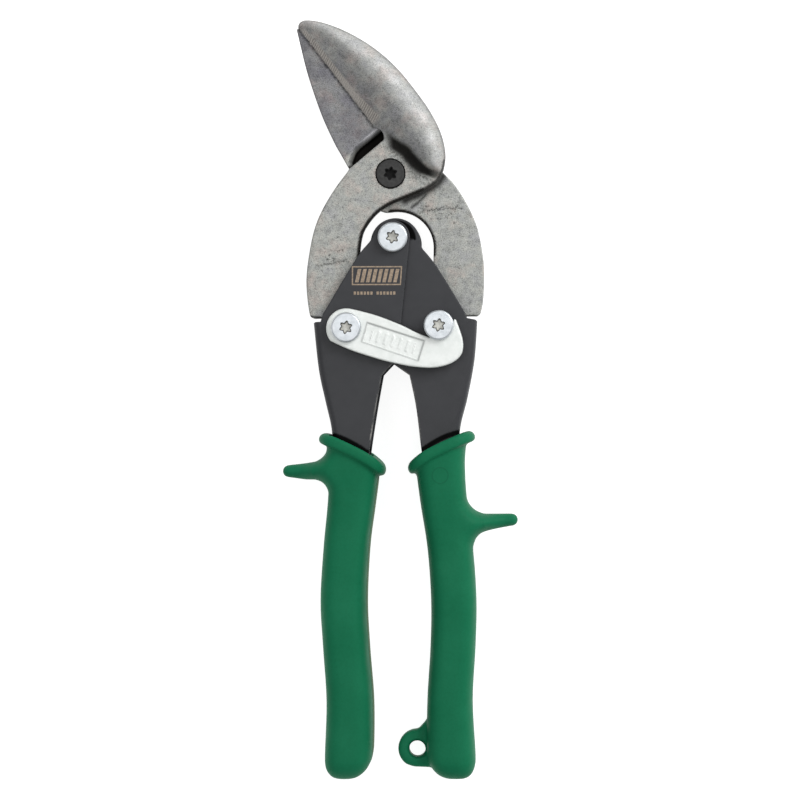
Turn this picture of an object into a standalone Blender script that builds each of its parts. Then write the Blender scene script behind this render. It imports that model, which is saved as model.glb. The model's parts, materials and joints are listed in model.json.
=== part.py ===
"""Offset aviation snips: two blades, a four-pivot compound linkage, latch, spring and moulded grips.

The tool lies flat. +Z is along every pivot, +Y runs to the blade tips, +X to the right-hand grip.
The origin is on the blade pivot's axis, in the plane that the tool lies on.
Dimensions are in millimetres here and become metres when a mesh is made.
"""
import math

import bmesh
import bpy

MM = 0.001
MERGE = 0.00001
GAP = 0.3
ROUND_STEPS = 24

# Pivot axes: the four corners of the compound linkage.
BLADE_PIVOT = (0.0, 0.0)
HANDLE_PIVOT = (0.9, -20.4)
LEFT_LINK = (-13.6, -48.9)
RIGHT_LINK = (15.5, -48.2)
RIGHT_LOBE = (1.7, -22.15)

# Layers, from the plane between the blades outwards.
GRIP_DEPTH = 22.0
MID = GRIP_DEPTH / 2
BLADE = 3.8
SHEET = 1.6
BLADE_FACE = MID + GAP / 2
BLADE_TOP = BLADE_FACE + BLADE
INNER_LOW = BLADE_TOP + GAP
INNER_TOP = INNER_LOW + SHEET
OUTER_LOW = INNER_TOP + GAP
OUTER_TOP = OUTER_LOW + SHEET
WASHER = 0.6
LATCH_SHEET = 1.6
WASHER_LOW = OUTER_TOP + GAP
LATCH_LOW = WASHER_LOW + WASHER + GAP
LATCH_TOP = LATCH_LOW + LATCH_SHEET
HEAD_LOW = LATCH_TOP + GAP
SHEAR = 14.0
LEAF_LOW = SHEAR + GAP / 2
JAW_TOP = SHEAR - GAP / 2

# Screws, nuts and bushes.
SHAFT = 2.5
SHAFT_HOLE = SHAFT + GAP
BUSH = 3.7
BUSH_HOLE = BUSH + GAP
SHOULDER = 2.9
HEAD = 4.7
HEAD_HEIGHT = 2.1
RECESS = 1.9
RECESS_LOBE = 0.3
RECESS_DEPTH = 1.2
NUT_FLAT = 4.0
NUT_HEIGHT = 2.6
PIVOT_SHAFT = 3.0
PIVOT_HOLE = PIVOT_SHAFT + 0.35
PIVOT_NUT_FLAT = 5.0
PIVOT_NUT_LOW = 0.8
PIVOT_NUT_TOP = 6.0
PIVOT_HEAD_TOP = BLADE_TOP + 0.3

# Blades.
BOSS_EDGE = 9.6
EDGE_NORMAL = (-0.643, 0.766)
WINDOW = (1.95, -23.35)
WINDOW_RADIUS = 11.6
LUG = 6.8

# Leaf stations from tip to heel: cutting-edge side, outer side, height above the shear plane.
LEAF_STATIONS = (
    ((-29.2, 45.9), (-27.0, 48.7), 1.6),
    ((-27.4, 43.3), (-21.4, 47.8), 3.4),
    ((-24.0, 38.9), (-13.8, 44.9), 5.2),
    ((-19.9, 33.6), (-5.6, 39.8), 6.4),
    ((-15.2, 27.5), (2.9, 32.3), 7.1),
    ((-10.6, 21.5), (8.9, 24.8), 7.4),
    ((-5.4, 14.8), (13.3, 18.2), 7.4),
    ((-1.8, 11.8), (15.9, 12.6), 7.3),
    ((2.4, 9.2), (17.0, 8.8), 7.1),
    ((5.6, 6.9), (17.3, 5.8), 6.8),
    ((8.3, 3.6), (17.1, 3.2), 6.2),
    ((11.6, 0.7), (16.5, 0.6), 4.6),
)
# Across a station: share of the way from the edge side to the outer side, share of the height.
LEAF_PROFILE = ((0.0, 0.05), (0.1, 0.26), (0.3, 0.55), (0.5, 0.8),
                (0.7, 0.98), (0.84, 0.96), (0.94, 0.7), (1.0, 0.2))

# Lower jaw stations from tip to heel: outer side, hidden cutting edge, depth below the shear plane.
JAW_STATIONS = (
    ((-29.8, 45.6), (-27.6, 46.6), 1.6),
    ((-28.9, 42.0), (-22.9, 42.2), 4.0),
    ((-27.0, 34.0), (-16.5, 34.5), 6.6),
    ((-24.4, 25.3), (-10.9, 27.2), 8.0),
    ((-20.9, 16.2), (-4.0, 19.6), 8.6),
    ((-18.0, 10.1), (0.0, 17.5), 8.6),
    ((-14.6, 4.1), (3.0, 18.9), 8.2),
)
JAW_PROFILE = ((0.0, 0.25), (0.08, 0.65), (0.3, 0.95), (0.6, 1.0), (0.85, 0.75), (1.0, 0.3))

# Grip stations from collar to butt: left point, right point, half depth.
LEFT_GRIP = (
    ((-20.6, -84.6), (-3.6, -92.8), 9.6),
    ((-19.6, -92.0), (-4.3, -98.0), 9.4),
    ((-20.0, -104.0), (-5.4, -105.5), 9.4),
    ((-21.3, -118.0), (-7.0, -118.0), 9.8),
    ((-22.3, -135.0), (-7.8, -135.0), 10.2),
    ((-21.5, -150.0), (-7.1, -150.0), 10.2),
    ((-20.4, -167.0), (-5.8, -167.0), 10.0),
    ((-20.9, -183.5), (-5.9, -183.5), 10.0),
    ((-20.4, -188.6), (-8.2, -188.4), 9.2),
    ((-18.3, -191.3), (-11.4, -191.2), 6.6),
    ((-16.4, -192.1), (-13.9, -192.1), 2.6),
)
RIGHT_GRIP = (
    ((7.4, -92.6), (24.4, -84.4), 9.6),
    ((8.4, -97.5), (23.5, -92.0), 9.4),
    ((9.6, -105.5), (24.2, -104.0), 9.4),
    ((11.7, -119.0), (26.1, -119.0), 9.8),
    ((12.8, -135.0), (27.2, -135.0), 10.2),
    ((12.6, -150.0), (26.9, -150.0), 10.2),
    ((11.6, -167.0), (26.0, -167.0), 10.0),
    ((11.6, -183.5), (26.9, -184.5), 10.0),
    ((13.2, -188.4), (26.2, -188.8), 9.2),
    ((16.6, -191.0), (23.8, -191.2), 6.6),
    ((18.9, -191.8), (21.4, -191.8), 2.6),
)
COLLAR_DEPTH = MID
COLLAR_INNER = 10.1
STOP_HALF_DEPTH = 5.0
LOOP = (8.45, -182.25)
LOOP_HOLE = 2.6
LOOP_RADIUS = 6.1
LOOP_HALF_DEPTH = 3.0
TANG_END = -172.0

# Torsion spring round the handle pivot's bush.
WIRE = 0.8
COIL_RADIUS = 5.3
COIL_TURNS = 3.6
SPRING_LOW = 8.2
SPRING_HIGH = 13.6

STEEL = (0.47, 0.46, 0.43)
PAINT = (0.055, 0.058, 0.062)
ZINC = (0.68, 0.70, 0.74)
BRIGHT_ZINC = (0.84, 0.87, 0.85)
BLACK = (0.03, 0.03, 0.03)
GREEN = (0.016, 0.147, 0.075)


def new_collection(name):
    collection = bpy.data.collections.new(name)
    bpy.context.scene.collection.children.link(collection)
    return collection


def clear_scene():
    for item in list(bpy.data.objects):
        bpy.data.objects.remove(item, do_unlink=True)


clear_scene()
SNIPS = new_collection("aviation_snips")
CUTTERS = new_collection("cutters")


def material(name, colour, roughness, metallic):
    made = bpy.data.materials.new(name)
    made.use_nodes = True
    shader = made.node_tree.nodes["Principled BSDF"]
    shader.inputs["Base Color"].default_value = (*colour, 1.0)
    shader.inputs["Roughness"].default_value = roughness
    shader.inputs["Metallic"].default_value = metallic
    made.diffuse_color = (*colour, 1.0)
    return made


# Outlines


def arc(centre, radius, start, end, steps=ROUND_STEPS):
    """Points on an arc, with both ends, from start to end in degrees."""
    points = []
    for step in range(steps + 1):
        angle = math.radians(start + (end - start) * step / steps)
        points.append((centre[0] + radius * math.cos(angle), centre[1] + radius * math.sin(angle)))
    return points


def circle(centre, radius, steps=ROUND_STEPS):
    return arc(centre, radius, 0.0, 360.0, steps)[:-1]


def smooth(points, steps=4):
    """An open Catmull-Rom run through the points, with both ends."""
    padded = [points[0], *points, points[-1]]
    run = []
    for first, start, end, last in zip(padded, padded[1:], padded[2:], padded[3:]):
        for step in range(steps):
            t = step / steps
            run.append(tuple(
                0.5 * (2 * b + (c - a) * t + (2 * a - 5 * b + 4 * c - d) * t * t
                       + (3 * b - a - 3 * c + d) * t ** 3)
                for a, b, c, d in zip(first, start, end, last)))
    run.append(points[-1])
    return run


def grown(points, distance):
    """The closed outline moved outwards by a distance; its points run anticlockwise."""
    result = []
    count = len(points)
    for index, point in enumerate(points):
        before = points[index - 1]
        after = points[(index + 1) % count]
        normals = []
        for start, end in ((before, point), (point, after)):
            length = math.dist(start, end)
            normals.append(((end[1] - start[1]) / length, (start[0] - end[0]) / length))
        (ax, ay), (bx, by) = normals
        scale = distance / max(0.5, 1.0 + ax * bx + ay * by)
        result.append((point[0] + (ax + bx) * scale, point[1] + (ay + by) * scale))
    return result


def along_edge(distance, along):
    """A point at a distance from the blade pivot and a way along the milled slot's direction."""
    return (EDGE_NORMAL[0] * distance + EDGE_NORMAL[1] * along,
            EDGE_NORMAL[1] * distance - EDGE_NORMAL[0] * along)


# Solids


def add_object(name, mesh, finish=None):
    made = bpy.data.objects.new(name, mesh)
    if finish is None:
        CUTTERS.objects.link(made)
        made.hide_render = True
        made.display_type = "WIRE"
    else:
        SNIPS.objects.link(made)
        mesh.materials.clear()
        mesh.materials.append(finish)
    return made


def plate(name, outline, low, high, finish=None, holes=()):
    """A flat outline, with round or shaped holes, made into a plate from low to high."""
    curve = bpy.data.curves.new(name, "CURVE")
    curve.dimensions = "2D"
    curve.fill_mode = "BOTH"
    curve.extrude = (high - low) / 2 * MM
    for loop in (outline, *holes):
        spline = curve.splines.new("POLY")
        spline.points.add(len(loop) - 1)
        for point, (x, y) in zip(spline.points, loop):
            point.co = (x * MM, y * MM, 0.0, 1.0)
        spline.use_cyclic_u = True
    guide = bpy.data.objects.new(name + "_outline", curve)
    guide.location.z = (high + low) / 2 * MM
    CUTTERS.objects.link(guide)
    return add_object(name, curve_mesh(guide), finish)


def curve_mesh(guide):
    """The evaluated curve as a welded mesh in world space; the curve is removed."""
    bpy.context.view_layer.update()
    evaluated = guide.evaluated_get(bpy.context.evaluated_depsgraph_get())
    mesh = bpy.data.meshes.new_from_object(evaluated)
    mesh.transform(guide.matrix_world)
    work = bmesh.new()
    work.from_mesh(mesh)
    bmesh.ops.remove_doubles(work, verts=work.verts, dist=MERGE)
    bmesh.ops.recalc_face_normals(work, faces=work.faces)
    work.to_mesh(mesh)
    work.free()
    bpy.data.objects.remove(guide, do_unlink=True)
    return mesh


def tube(name, points, radius, finish):
    """A round wire through the points, in millimetres."""
    curve = bpy.data.curves.new(name, "CURVE")
    curve.dimensions = "3D"
    curve.bevel_depth = radius * MM
    curve.bevel_resolution = 2
    curve.use_fill_caps = True
    spline = curve.splines.new("POLY")
    spline.points.add(len(points) - 1)
    for point, place in zip(spline.points, points):
        point.co = (*(value * MM for value in place), 1.0)
    made = bpy.data.objects.new(name, curve)
    curve.materials.append(finish)
    SNIPS.objects.link(made)
    return made


def turned(name, profile, centre, finish=None, steps=ROUND_STEPS):
    """A profile of (radius, height) points, listed down the outer side, turned about +Z."""
    mesh = bpy.data.meshes.new(name)
    closed = profile[0][0] > 0.0
    count = len(profile)
    edges = [(index, index + 1) for index in range(count - 1)]
    if closed:
        edges.append((count - 1, 0))
    mesh.from_pydata([(radius * MM, 0.0, height * MM) for radius, height in profile], edges, [])
    made = add_object(name, mesh, finish)
    made.location = (centre[0] * MM, centre[1] * MM, 0.0)
    screw = made.modifiers.new("turn", "SCREW")
    screw.axis = "Z"
    screw.steps = steps
    screw.render_steps = steps
    screw.use_merge_vertices = True
    screw.merge_threshold = MERGE
    return made


def loft(name, rings, finish=None):
    """A closed skin through rings of equal length, with flat ends."""
    work = bmesh.new()
    rows = [[work.verts.new([value * MM for value in point]) for point in ring] for ring in rings]
    count = len(rows[0])
    for row, following in zip(rows, rows[1:]):
        for index in range(count):
            after = (index + 1) % count
            work.faces.new((row[index], row[after], following[after], following[index]))
    work.faces.new(rows[0])
    work.faces.new(rows[-1])
    bmesh.ops.recalc_face_normals(work, faces=work.faces)
    mesh = bpy.data.meshes.new(name)
    work.to_mesh(mesh)
    work.free()
    return add_object(name, mesh, finish)


def boolean(target, other, operation):
    other.hide_render = True
    other.display_type = "WIRE"
    step = target.modifiers.new(operation.lower(), "BOOLEAN")
    step.operation = operation
    step.solver = "EXACT"
    step.object = other


def join(target, *others):
    for other in others:
        boolean(target, other, "UNION")


def cut(target, *others):
    for other in others:
        boolean(target, other, "DIFFERENCE")


def cylinder(name, centre, radius, low, high, steps=ROUND_STEPS):
    return plate(name, circle(centre, radius, steps), low, high)


def hexagon(centre, flat):
    """A hexagon with a given distance from its centre to its flats."""
    return arc(centre, flat / math.cos(math.pi / 6), 0.0, 300.0, 5)


def hexalobe(centre, radius, lobe, steps=36):
    points = []
    for step in range(steps):
        angle = 2 * math.pi * step / steps
        reach = radius + lobe * math.cos(6 * angle)
        points.append((centre[0] + reach * math.cos(angle), centre[1] + reach * math.sin(angle)))
    return points


# Blades


def leaf_ring(station):
    """One section of the upper leaf: flat below, raised and rounded above."""
    edge, outer, height = station
    ring = [(edge[0], edge[1], LEAF_LOW), (outer[0], outer[1], LEAF_LOW)]
    for share, lift in reversed(LEAF_PROFILE):
        x, y = (a + (b - a) * share for a, b in zip(edge, outer))
        ring.append((x, y, LEAF_LOW + height * lift + 0.1))
    return ring


def jaw_ring(station):
    """One section of the lower jaw: flat above, bellied below."""
    outer, edge, depth = station
    ring = [(edge[0], edge[1], JAW_TOP), (outer[0], outer[1], JAW_TOP)]
    for share, drop in JAW_PROFILE:
        x, y = (a + (b - a) * share for a, b in zip(outer, edge))
        ring.append((x, y, JAW_TOP - depth * drop))
    return ring


def lug(centre, start, end):
    return arc(centre, LUG, start, end, 14)


def front_blade_outline():
    tail_outer = smooth([(-13.9, 0.3), (-17.9, -5.1), (-21.9, -11.9), (-24.4, -18.4), (-26.0, -26.5),
                         (-26.7, -33.4), (-26.4, -39.5), (-25.6, -44.6)])
    foot = [(-24.6, -45.8), (-21.2, -45.8), (-20.6, -47.0)]
    lug_run = lug(LEFT_LINK, 176.0, 378.0)
    inner = smooth([(-8.4, -42.0), (-9.7, -34.0), (-9.8, -26.0), (-8.9, -19.5), (-7.0, -15.8),
                    (-4.3, -12.6), (-0.5, -9.9), (4.4, -7.8), (10.2, -5.4), (14.5, -2.7),
                    (16.4, 0.6), (17.0, 5.6)])
    heel = [(16.2, 11.0), (13.6, 17.0), (10.4, 21.2)]
    top = [along_edge(BOSS_EDGE, 13.0), along_edge(BOSS_EDGE, -9.1)]
    return tail_outer + foot + lug_run + inner + heel + top


def rear_blade_outline():
    tail_outer = smooth([(28.6, -44.0), (29.3, -39.5), (29.6, -31.4), (29.1, -25.3), (27.5, -17.2),
                         (24.6, -10.3), (20.6, -3.8), (16.9, 0.2), (12.0, 5.4), (7.0, 11.0)])
    heel = [(4.6, 15.6), (1.6, 17.2), (-14.0, 12.4), (-16.6, 8.4), (-14.2, 3.5), (-13.0, 1.2)]
    boss = arc(BLADE_PIVOT, 12.6, 183.0, 232.0, 8)
    window = [(-3.7, -11.4), (-1.9, -11.95)] + arc(WINDOW, WINDOW_RADIUS, 95.0, 0.0, 14)
    inner = smooth([(13.5, -27.5), (12.6, -34.0), (10.9, -41.0), (9.6, -45.0)])
    lug_run = lug(RIGHT_LINK, 165.0, 370.0)
    foot = [(22.8, -45.2), (27.4, -45.2)]
    return tail_outer + heel + boss + window + inner + lug_run + foot


def make_front_blade(finish):
    blade = plate("front_blade", front_blade_outline(), BLADE_FACE, BLADE_TOP, finish)
    leaf = loft("leaf_form", [leaf_ring(station) for station in LEAF_STATIONS])
    join(blade, leaf)
    bore = cylinder("front_bore", BLADE_PIVOT, PIVOT_HOLE, 0.0, GRIP_DEPTH)
    link = cylinder("front_link_bore", LEFT_LINK, BUSH_HOLE, 0.0, GRIP_DEPTH)
    sink = turned("countersink", [(0.0, PIVOT_HEAD_TOP + 1.0), (HEAD + GAP, PIVOT_HEAD_TOP + 1.0),
                                  (HEAD + GAP, BLADE_TOP - 1.3), (0.0, BLADE_TOP - 1.3)], BLADE_PIVOT)
    cut(blade, bore, link, sink)


def make_rear_blade(finish):
    low = MID - GAP / 2 - BLADE
    blade = plate("rear_blade", rear_blade_outline(), low, low + BLADE, finish)
    jaw = loft("jaw_form", [jaw_ring(station) for station in JAW_STATIONS])
    join(blade, jaw)
    bore = cylinder("rear_bore", BLADE_PIVOT, PIVOT_HOLE, 0.0, GRIP_DEPTH)
    link = cylinder("rear_link_bore", RIGHT_LINK, BUSH_HOLE, 0.0, GRIP_DEPTH)
    cut(blade, bore, link)


# Handles


def left_outer_edge():
    """The web's outside, from the shoulder down to the end of the tang."""
    return smooth([(-24.2, -47.4), (-22.6, -62.1), (-20.4, -72.5), (-18.4, -82.0), (-17.4, -98.0),
                   (-18.6, -118.0), (-19.5, -135.0), (-18.8, -150.0), (-17.7, TANG_END)])


def left_inner_edge():
    """The open side, from the end of the tang up to the crotch."""
    return smooth([(-8.7, TANG_END), (-9.9, -150.0), (-10.6, -135.0), (-9.8, -118.0), (-7.7, -98.0),
                   (-6.4, -87.0), (-4.4, -74.0), (-2.6, -63.9)]) + [(0.8, -60.2)]


def left_handle_outline():
    lobe = arc(HANDLE_PIVOT, 5.4, 2.0, 141.0, 12)
    shoulder = [(-4.2, -18.6), (-6.6, -22.0), (-10.8, -27.3), (-21.2, -44.6), (-21.9, -47.2)]
    return lobe + shoulder + left_outer_edge() + left_inner_edge() + [(3.6, -47.4)]


def right_outer_edge():
    """The web's outside, from the end of the tang up to the shoulder."""
    return smooth([(22.6, TANG_END), (23.7, -150.0), (24.4, -135.0), (23.4, -119.0), (21.4, -98.0),
                   (21.8, -82.0), (24.3, -71.0), (26.5, -59.0), (27.4, -46.7)])


def right_inner_edge():
    """The open side, from the crotch down to the end of the tang."""
    return [(1.0, -60.7)] + smooth([(6.1, -63.9), (8.2, -74.0), (9.8, -87.0), (11.4, -98.0),
                                    (14.3, -119.0), (15.5, -135.0), (14.9, -150.0), (13.8, TANG_END)])


def right_handle_outline():
    lobe = arc(RIGHT_LOBE, 7.9, -4.0, 178.0, 14)
    shoulder = [(23.6, -44.0), (14.9, -29.8), (10.1, -23.8)]
    return lobe + [(-6.4, -25.0), (-1.5, -47.4)] + right_inner_edge() + right_outer_edge() + [(24.2, -46.2)] + shoulder


def make_left_handle(finish):
    web = [(x + SHEET, y) for x, y in left_outer_edge()]
    pocket = [(-40.0, 0.0), (-40.0, -46.9), (web[0][0], -46.9), *web[1:], (web[-1][0], TANG_END - 5.0),
              (30.0, TANG_END - 5.0), (30.0, 0.0)]
    body = plate("left_handle", left_handle_outline(), 2 * MID - OUTER_TOP, OUTER_TOP, finish)
    cut(body, plate("left_pocket", pocket, 2 * MID - OUTER_LOW, OUTER_LOW))
    cut(body, cylinder("left_handle_bore", HANDLE_PIVOT, SHAFT_HOLE, -1.0, 25.0))
    cut(body, cylinder("left_link_bore", LEFT_LINK, SHAFT_HOLE, -1.0, 25.0))


def make_right_handle(finish):
    web = [(x - SHEET, y) for x, y in right_outer_edge()]
    pocket = [(-30.0, 0.0), (-30.0, TANG_END - 5.0), (web[0][0], TANG_END - 5.0), *web[:-1],
              (web[-1][0], -46.2), (40.0, -46.2), (40.0, 0.0)]
    body = plate("right_handle", right_handle_outline(), 2 * MID - INNER_TOP, INNER_TOP, finish)
    cut(body, plate("right_pocket", pocket, 2 * MID - INNER_LOW, INNER_LOW))
    cut(body, cylinder("right_handle_bore", HANDLE_PIVOT, BUSH_HOLE, -1.0, 25.0))
    cut(body, cylinder("right_link_bore", RIGHT_LINK, SHAFT_HOLE, -1.0, 25.0))


# Grips


def grip_ring(station, sides=16, squareness=0.62):
    """A rounded section standing on the line between two points of the outline."""
    left, right, half = station
    ring = []
    for step in range(sides):
        angle = 2 * math.pi * step / sides
        across = math.copysign(abs(math.cos(angle)) ** squareness, math.cos(angle))
        depth = math.copysign(abs(math.sin(angle)) ** squareness, math.sin(angle))
        x, y = ((a + b) / 2 + (b - a) / 2 * across for a, b in zip(left, right))
        ring.append((x, y, MID + half * depth))
    return ring


def tang_cutter(name, outline, top, half):
    """The tang's space in a grip, open at the collar."""
    below = [point for point in outline if point[1] < top]
    return plate(name, grown(below, GAP), MID - half - GAP, MID + half + GAP)


def make_grip(name, stations, collar, stop, tang, half, finish, extras=()):
    grip = loft(name, [grip_ring(station) for station in stations], finish)
    rim = loft(name + "_rim", [grip_ring(station) for station in collar])
    thumb = plate(name + "_stop", stop, MID - STOP_HALF_DEPTH, MID + STOP_HALF_DEPTH)
    join(grip, rim, thumb, *extras)
    cut(grip, tang_cutter(name + "_tang", tang, -70.0, half))
    return grip


def make_left_grip(finish):
    collar = (((-20.9, -82.4), (-4.4, -90.2), COLLAR_INNER), ((-22.0, -82.7), (-2.4, -92.0), COLLAR_DEPTH),
              ((-22.0, -84.6), (-1.8, -94.2), COLLAR_DEPTH), ((-20.9, -86.0), (-3.0, -95.4), COLLAR_INNER))
    stop = [(-12.0, -88.0), (-20.0, -87.2), (-22.6, -90.9), (-32.4, -92.4),
            *arc((-32.6, -94.4), 1.95, 90.0, 262.0, 8),
            (-22.6, -97.1), (-19.7, -101.6), (-12.0, -104.0)]
    tang = left_outer_edge() + left_inner_edge()[:-1]
    make_grip("left_grip", LEFT_GRIP, collar, stop, tang, OUTER_TOP - MID, finish)


def make_right_grip(finish):
    collar = (((8.4, -89.4), (24.6, -81.8), COLLAR_INNER), ((6.2, -91.8), (25.8, -82.3), COLLAR_DEPTH),
              ((5.6, -93.6), (25.7, -84.4), COLLAR_DEPTH), ((7.0, -95.0), (24.4, -86.0), COLLAR_INNER))
    stop = [(16.0, -98.0), (23.4, -98.0), (24.2, -103.4), (27.9, -107.7), (38.2, -107.7),
            *arc((38.4, -109.65), 1.95, 90.0, -90.0, 8),
            (29.2, -113.5), (26.2, -118.4), (16.0, -118.0)]
    tang = right_inner_edge()[1:] + right_outer_edge()
    ring = arc(LOOP, LOOP_RADIUS, 72.0, 235.0, 14)
    neck = [(7.6, -188.0), (12.9, -188.0), (15.0, -186.0), (15.0, -171.0), (11.6, -173.0)]
    tab = plate("loop_tab", ring + neck, MID - LOOP_HALF_DEPTH, MID + LOOP_HALF_DEPTH)
    grip = make_grip("right_grip", RIGHT_GRIP, collar, stop, tang, INNER_TOP - MID, finish, (tab,))
    cut(grip, cylinder("loop_hole", LOOP, LOOP_HOLE, 0.0, GRIP_DEPTH, 20))


# Latch


def latch_outline():
    """The latch plate; its hook passes under and beyond the right link screw's shoulder."""
    round_end = arc(LEFT_LINK, 6.8, 100.0, 215.0, 10)
    lower = [(-17.0, -53.9), (-11.8, -56.2), (-3.7, -58.8), (2.8, -60.4), (11.7, -61.6), (15.7, -61.4)]
    hook = smooth([(19.0, -60.4), (21.8, -58.4), (23.1, -55.9), (22.9, -52.6), (21.8, -49.1), (20.7, -46.3)], 3)
    mouth = [(20.0, -46.3), (18.9, -49.2)] + arc(RIGHT_LINK, SHOULDER + 0.5, -20.0, -118.0, 8)
    top = smooth([(12.4, -52.0), (8.5, -50.0), (3.6, -47.8), (-3.7, -45.4), (-9.4, -43.6), (-12.0, -42.5)], 2)
    return round_end + lower + hook + mouth + top


def make_latch(finish):
    latch = plate("latch", latch_outline(), LATCH_LOW, LATCH_TOP, finish, [circle(LEFT_LINK, SHAFT_HOLE)])
    panel = [(-7.0, -47.6), (-8.6, -53.3), (9.1, -59.2), (11.1, -53.1)]
    cut(latch, plate("latch_panel", panel, LATCH_TOP - 0.35, LATCH_TOP + 1.0))


# Fasteners


def screw_profile(head_low, tip, shoulder_low=None):
    """A low domed head on a plain shaft, with an optional shoulder, listed from the top down."""
    top = head_low + HEAD_HEIGHT
    profile = [(0.0, top), (HEAD * 0.6, top - 0.1), (HEAD * 0.86, top - 0.5), (HEAD, top - 1.2), (HEAD, head_low)]
    if shoulder_low is not None:
        profile += [(SHOULDER, head_low), (SHOULDER, shoulder_low)]
    return profile + [(SHAFT, shoulder_low if shoulder_low is not None else head_low), (SHAFT, tip), (0.0, tip)]


def make_screw(name, centre, profile, recess_top, finish):
    screw = turned(name, profile, centre, finish)
    star = hexalobe(centre, RECESS, RECESS_LOBE)
    cut(screw, plate(name + "_recess", star, recess_top - RECESS_DEPTH, recess_top + 1.0))


def make_nut(name, centre, flat, low, high, bore, finish):
    plate(name, hexagon(centre, flat), low, high, finish, [circle(centre, bore, 20)])


def make_bush(name, centre, low, high, finish, bore=SHAFT_HOLE, radius=BUSH):
    plate(name, circle(centre, radius), low, high, finish, [circle(centre, bore)])


def make_fasteners(zinc, black):
    outer_rear = 2 * MID - OUTER_TOP
    inner_rear = 2 * MID - INNER_TOP
    tip = outer_rear - GAP - NUT_HEIGHT
    handle_head = OUTER_TOP + GAP
    make_screw("handle_pivot_screw", HANDLE_PIVOT, screw_profile(handle_head, tip),
               handle_head + HEAD_HEIGHT, zinc)
    make_screw("left_link_screw", LEFT_LINK, screw_profile(HEAD_LOW, tip), HEAD_LOW + HEAD_HEIGHT, zinc)
    right_tip = inner_rear - GAP - NUT_HEIGHT
    make_screw("right_link_screw", RIGHT_LINK, screw_profile(HEAD_LOW, right_tip, INNER_TOP + GAP),
               HEAD_LOW + HEAD_HEIGHT, zinc)
    pivot = [(0.0, PIVOT_HEAD_TOP), (HEAD - 0.5, PIVOT_HEAD_TOP), (HEAD, PIVOT_HEAD_TOP - 0.4),
             (HEAD, BLADE_TOP - 1.0), (PIVOT_SHAFT, BLADE_TOP - 1.0), (PIVOT_SHAFT, 0.0), (0.0, 0.0)]
    make_screw("blade_pivot_screw", BLADE_PIVOT, pivot, PIVOT_HEAD_TOP, black)
    for name, centre, top in (("handle_pivot_nut", HANDLE_PIVOT, outer_rear - GAP),
                              ("left_link_nut", LEFT_LINK, outer_rear - GAP),
                              ("right_link_nut", RIGHT_LINK, inner_rear - GAP)):
        make_nut(name, centre, NUT_FLAT, top - NUT_HEIGHT, top, SHAFT_HOLE, zinc)
    make_nut("blade_pivot_nut", BLADE_PIVOT, PIVOT_NUT_FLAT, PIVOT_NUT_LOW, PIVOT_NUT_TOP,
             PIVOT_SHAFT + GAP, black)
    washer_low = PIVOT_NUT_TOP + GAP / 2
    make_bush("blade_pivot_washer", BLADE_PIVOT, washer_low, washer_low + 0.7, zinc,
              PIVOT_SHAFT + GAP, 6.2)


def make_bushes(finish):
    make_bush("handle_pivot_bush", HANDLE_PIVOT, 2 * MID - OUTER_LOW + GAP, OUTER_LOW - GAP, finish)
    make_bush("left_link_bush", LEFT_LINK, 2 * MID - OUTER_LOW + GAP, OUTER_LOW - GAP, finish)
    make_bush("right_link_bush", RIGHT_LINK, 2 * MID - INNER_LOW + GAP, INNER_LOW - GAP, finish)


def spring_points():
    """A coil round the handle pivot with one leg to each handle's web."""
    left_start = math.radians(176.0)
    turns = COIL_TURNS
    steps = round(turns * 14)
    coil = []
    for step in range(steps + 1):
        share = step / steps
        angle = left_start + 2 * math.pi * turns * share
        coil.append((HANDLE_PIVOT[0] + COIL_RADIUS * math.cos(angle),
                     HANDLE_PIVOT[1] + COIL_RADIUS * math.sin(angle),
                     SPRING_LOW + (SPRING_HIGH - SPRING_LOW) * share))
    left_leg = [(-20.9, -53.6, SPRING_LOW), (-20.3, -50.6, SPRING_LOW), (-12.4, -36.0, SPRING_LOW),
                (-5.4, -23.5, SPRING_LOW)]
    right_leg = [(7.4, -24.0, SPRING_HIGH), (15.0, -36.0, SPRING_HIGH), (23.4, -50.0, SPRING_HIGH),
                 (24.0, -53.0, SPRING_HIGH)]
    return left_leg + coil + right_leg


def make_springs(finish):
    tube("torsion_spring", spring_points(), WIRE, finish)


def shade_round_pieces():
    for item in SNIPS.objects:
        if item.type == "MESH":
            item.data.shade_smooth()
            item.data.set_sharp_from_angle(angle=math.radians(35.0))


def main():
    steel = material("blade_steel", STEEL, 0.5, 0.9)
    paint = material("handle_paint", PAINT, 0.4, 0.2)
    zinc = material("zinc", ZINC, 0.3, 0.9)
    latch_zinc = material("latch_zinc", BRIGHT_ZINC, 0.4, 0.6)
    black = material("black_oxide", BLACK, 0.45, 0.5)
    green = material("grip_green", GREEN, 0.55, 0.0)
    make_front_blade(steel)
    make_rear_blade(steel)
    make_left_handle(paint)
    make_right_handle(paint)
    make_left_grip(green)
    make_right_grip(green)
    make_fasteners(zinc, black)
    make_bushes(zinc)
    make_bush("latch_washer", LEFT_LINK, WASHER_LOW, WASHER_LOW + WASHER, zinc, SHAFT_HOLE, 5.0)
    make_latch(latch_zinc)
    make_springs(black)
    shade_round_pieces()


main()
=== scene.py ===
"""The looks of the offset aviation snips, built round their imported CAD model.

Lengths are in millimetres, in the CAD's frame, and become metres when a mesh is made.
Levels and pivots come from the frame; outlines follow the CAD's, with finer curves.
"""
import json
import math
import random

import bmesh
import bpy
import numpy as np
from mathutils import Matrix, Vector, geometry, noise


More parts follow.
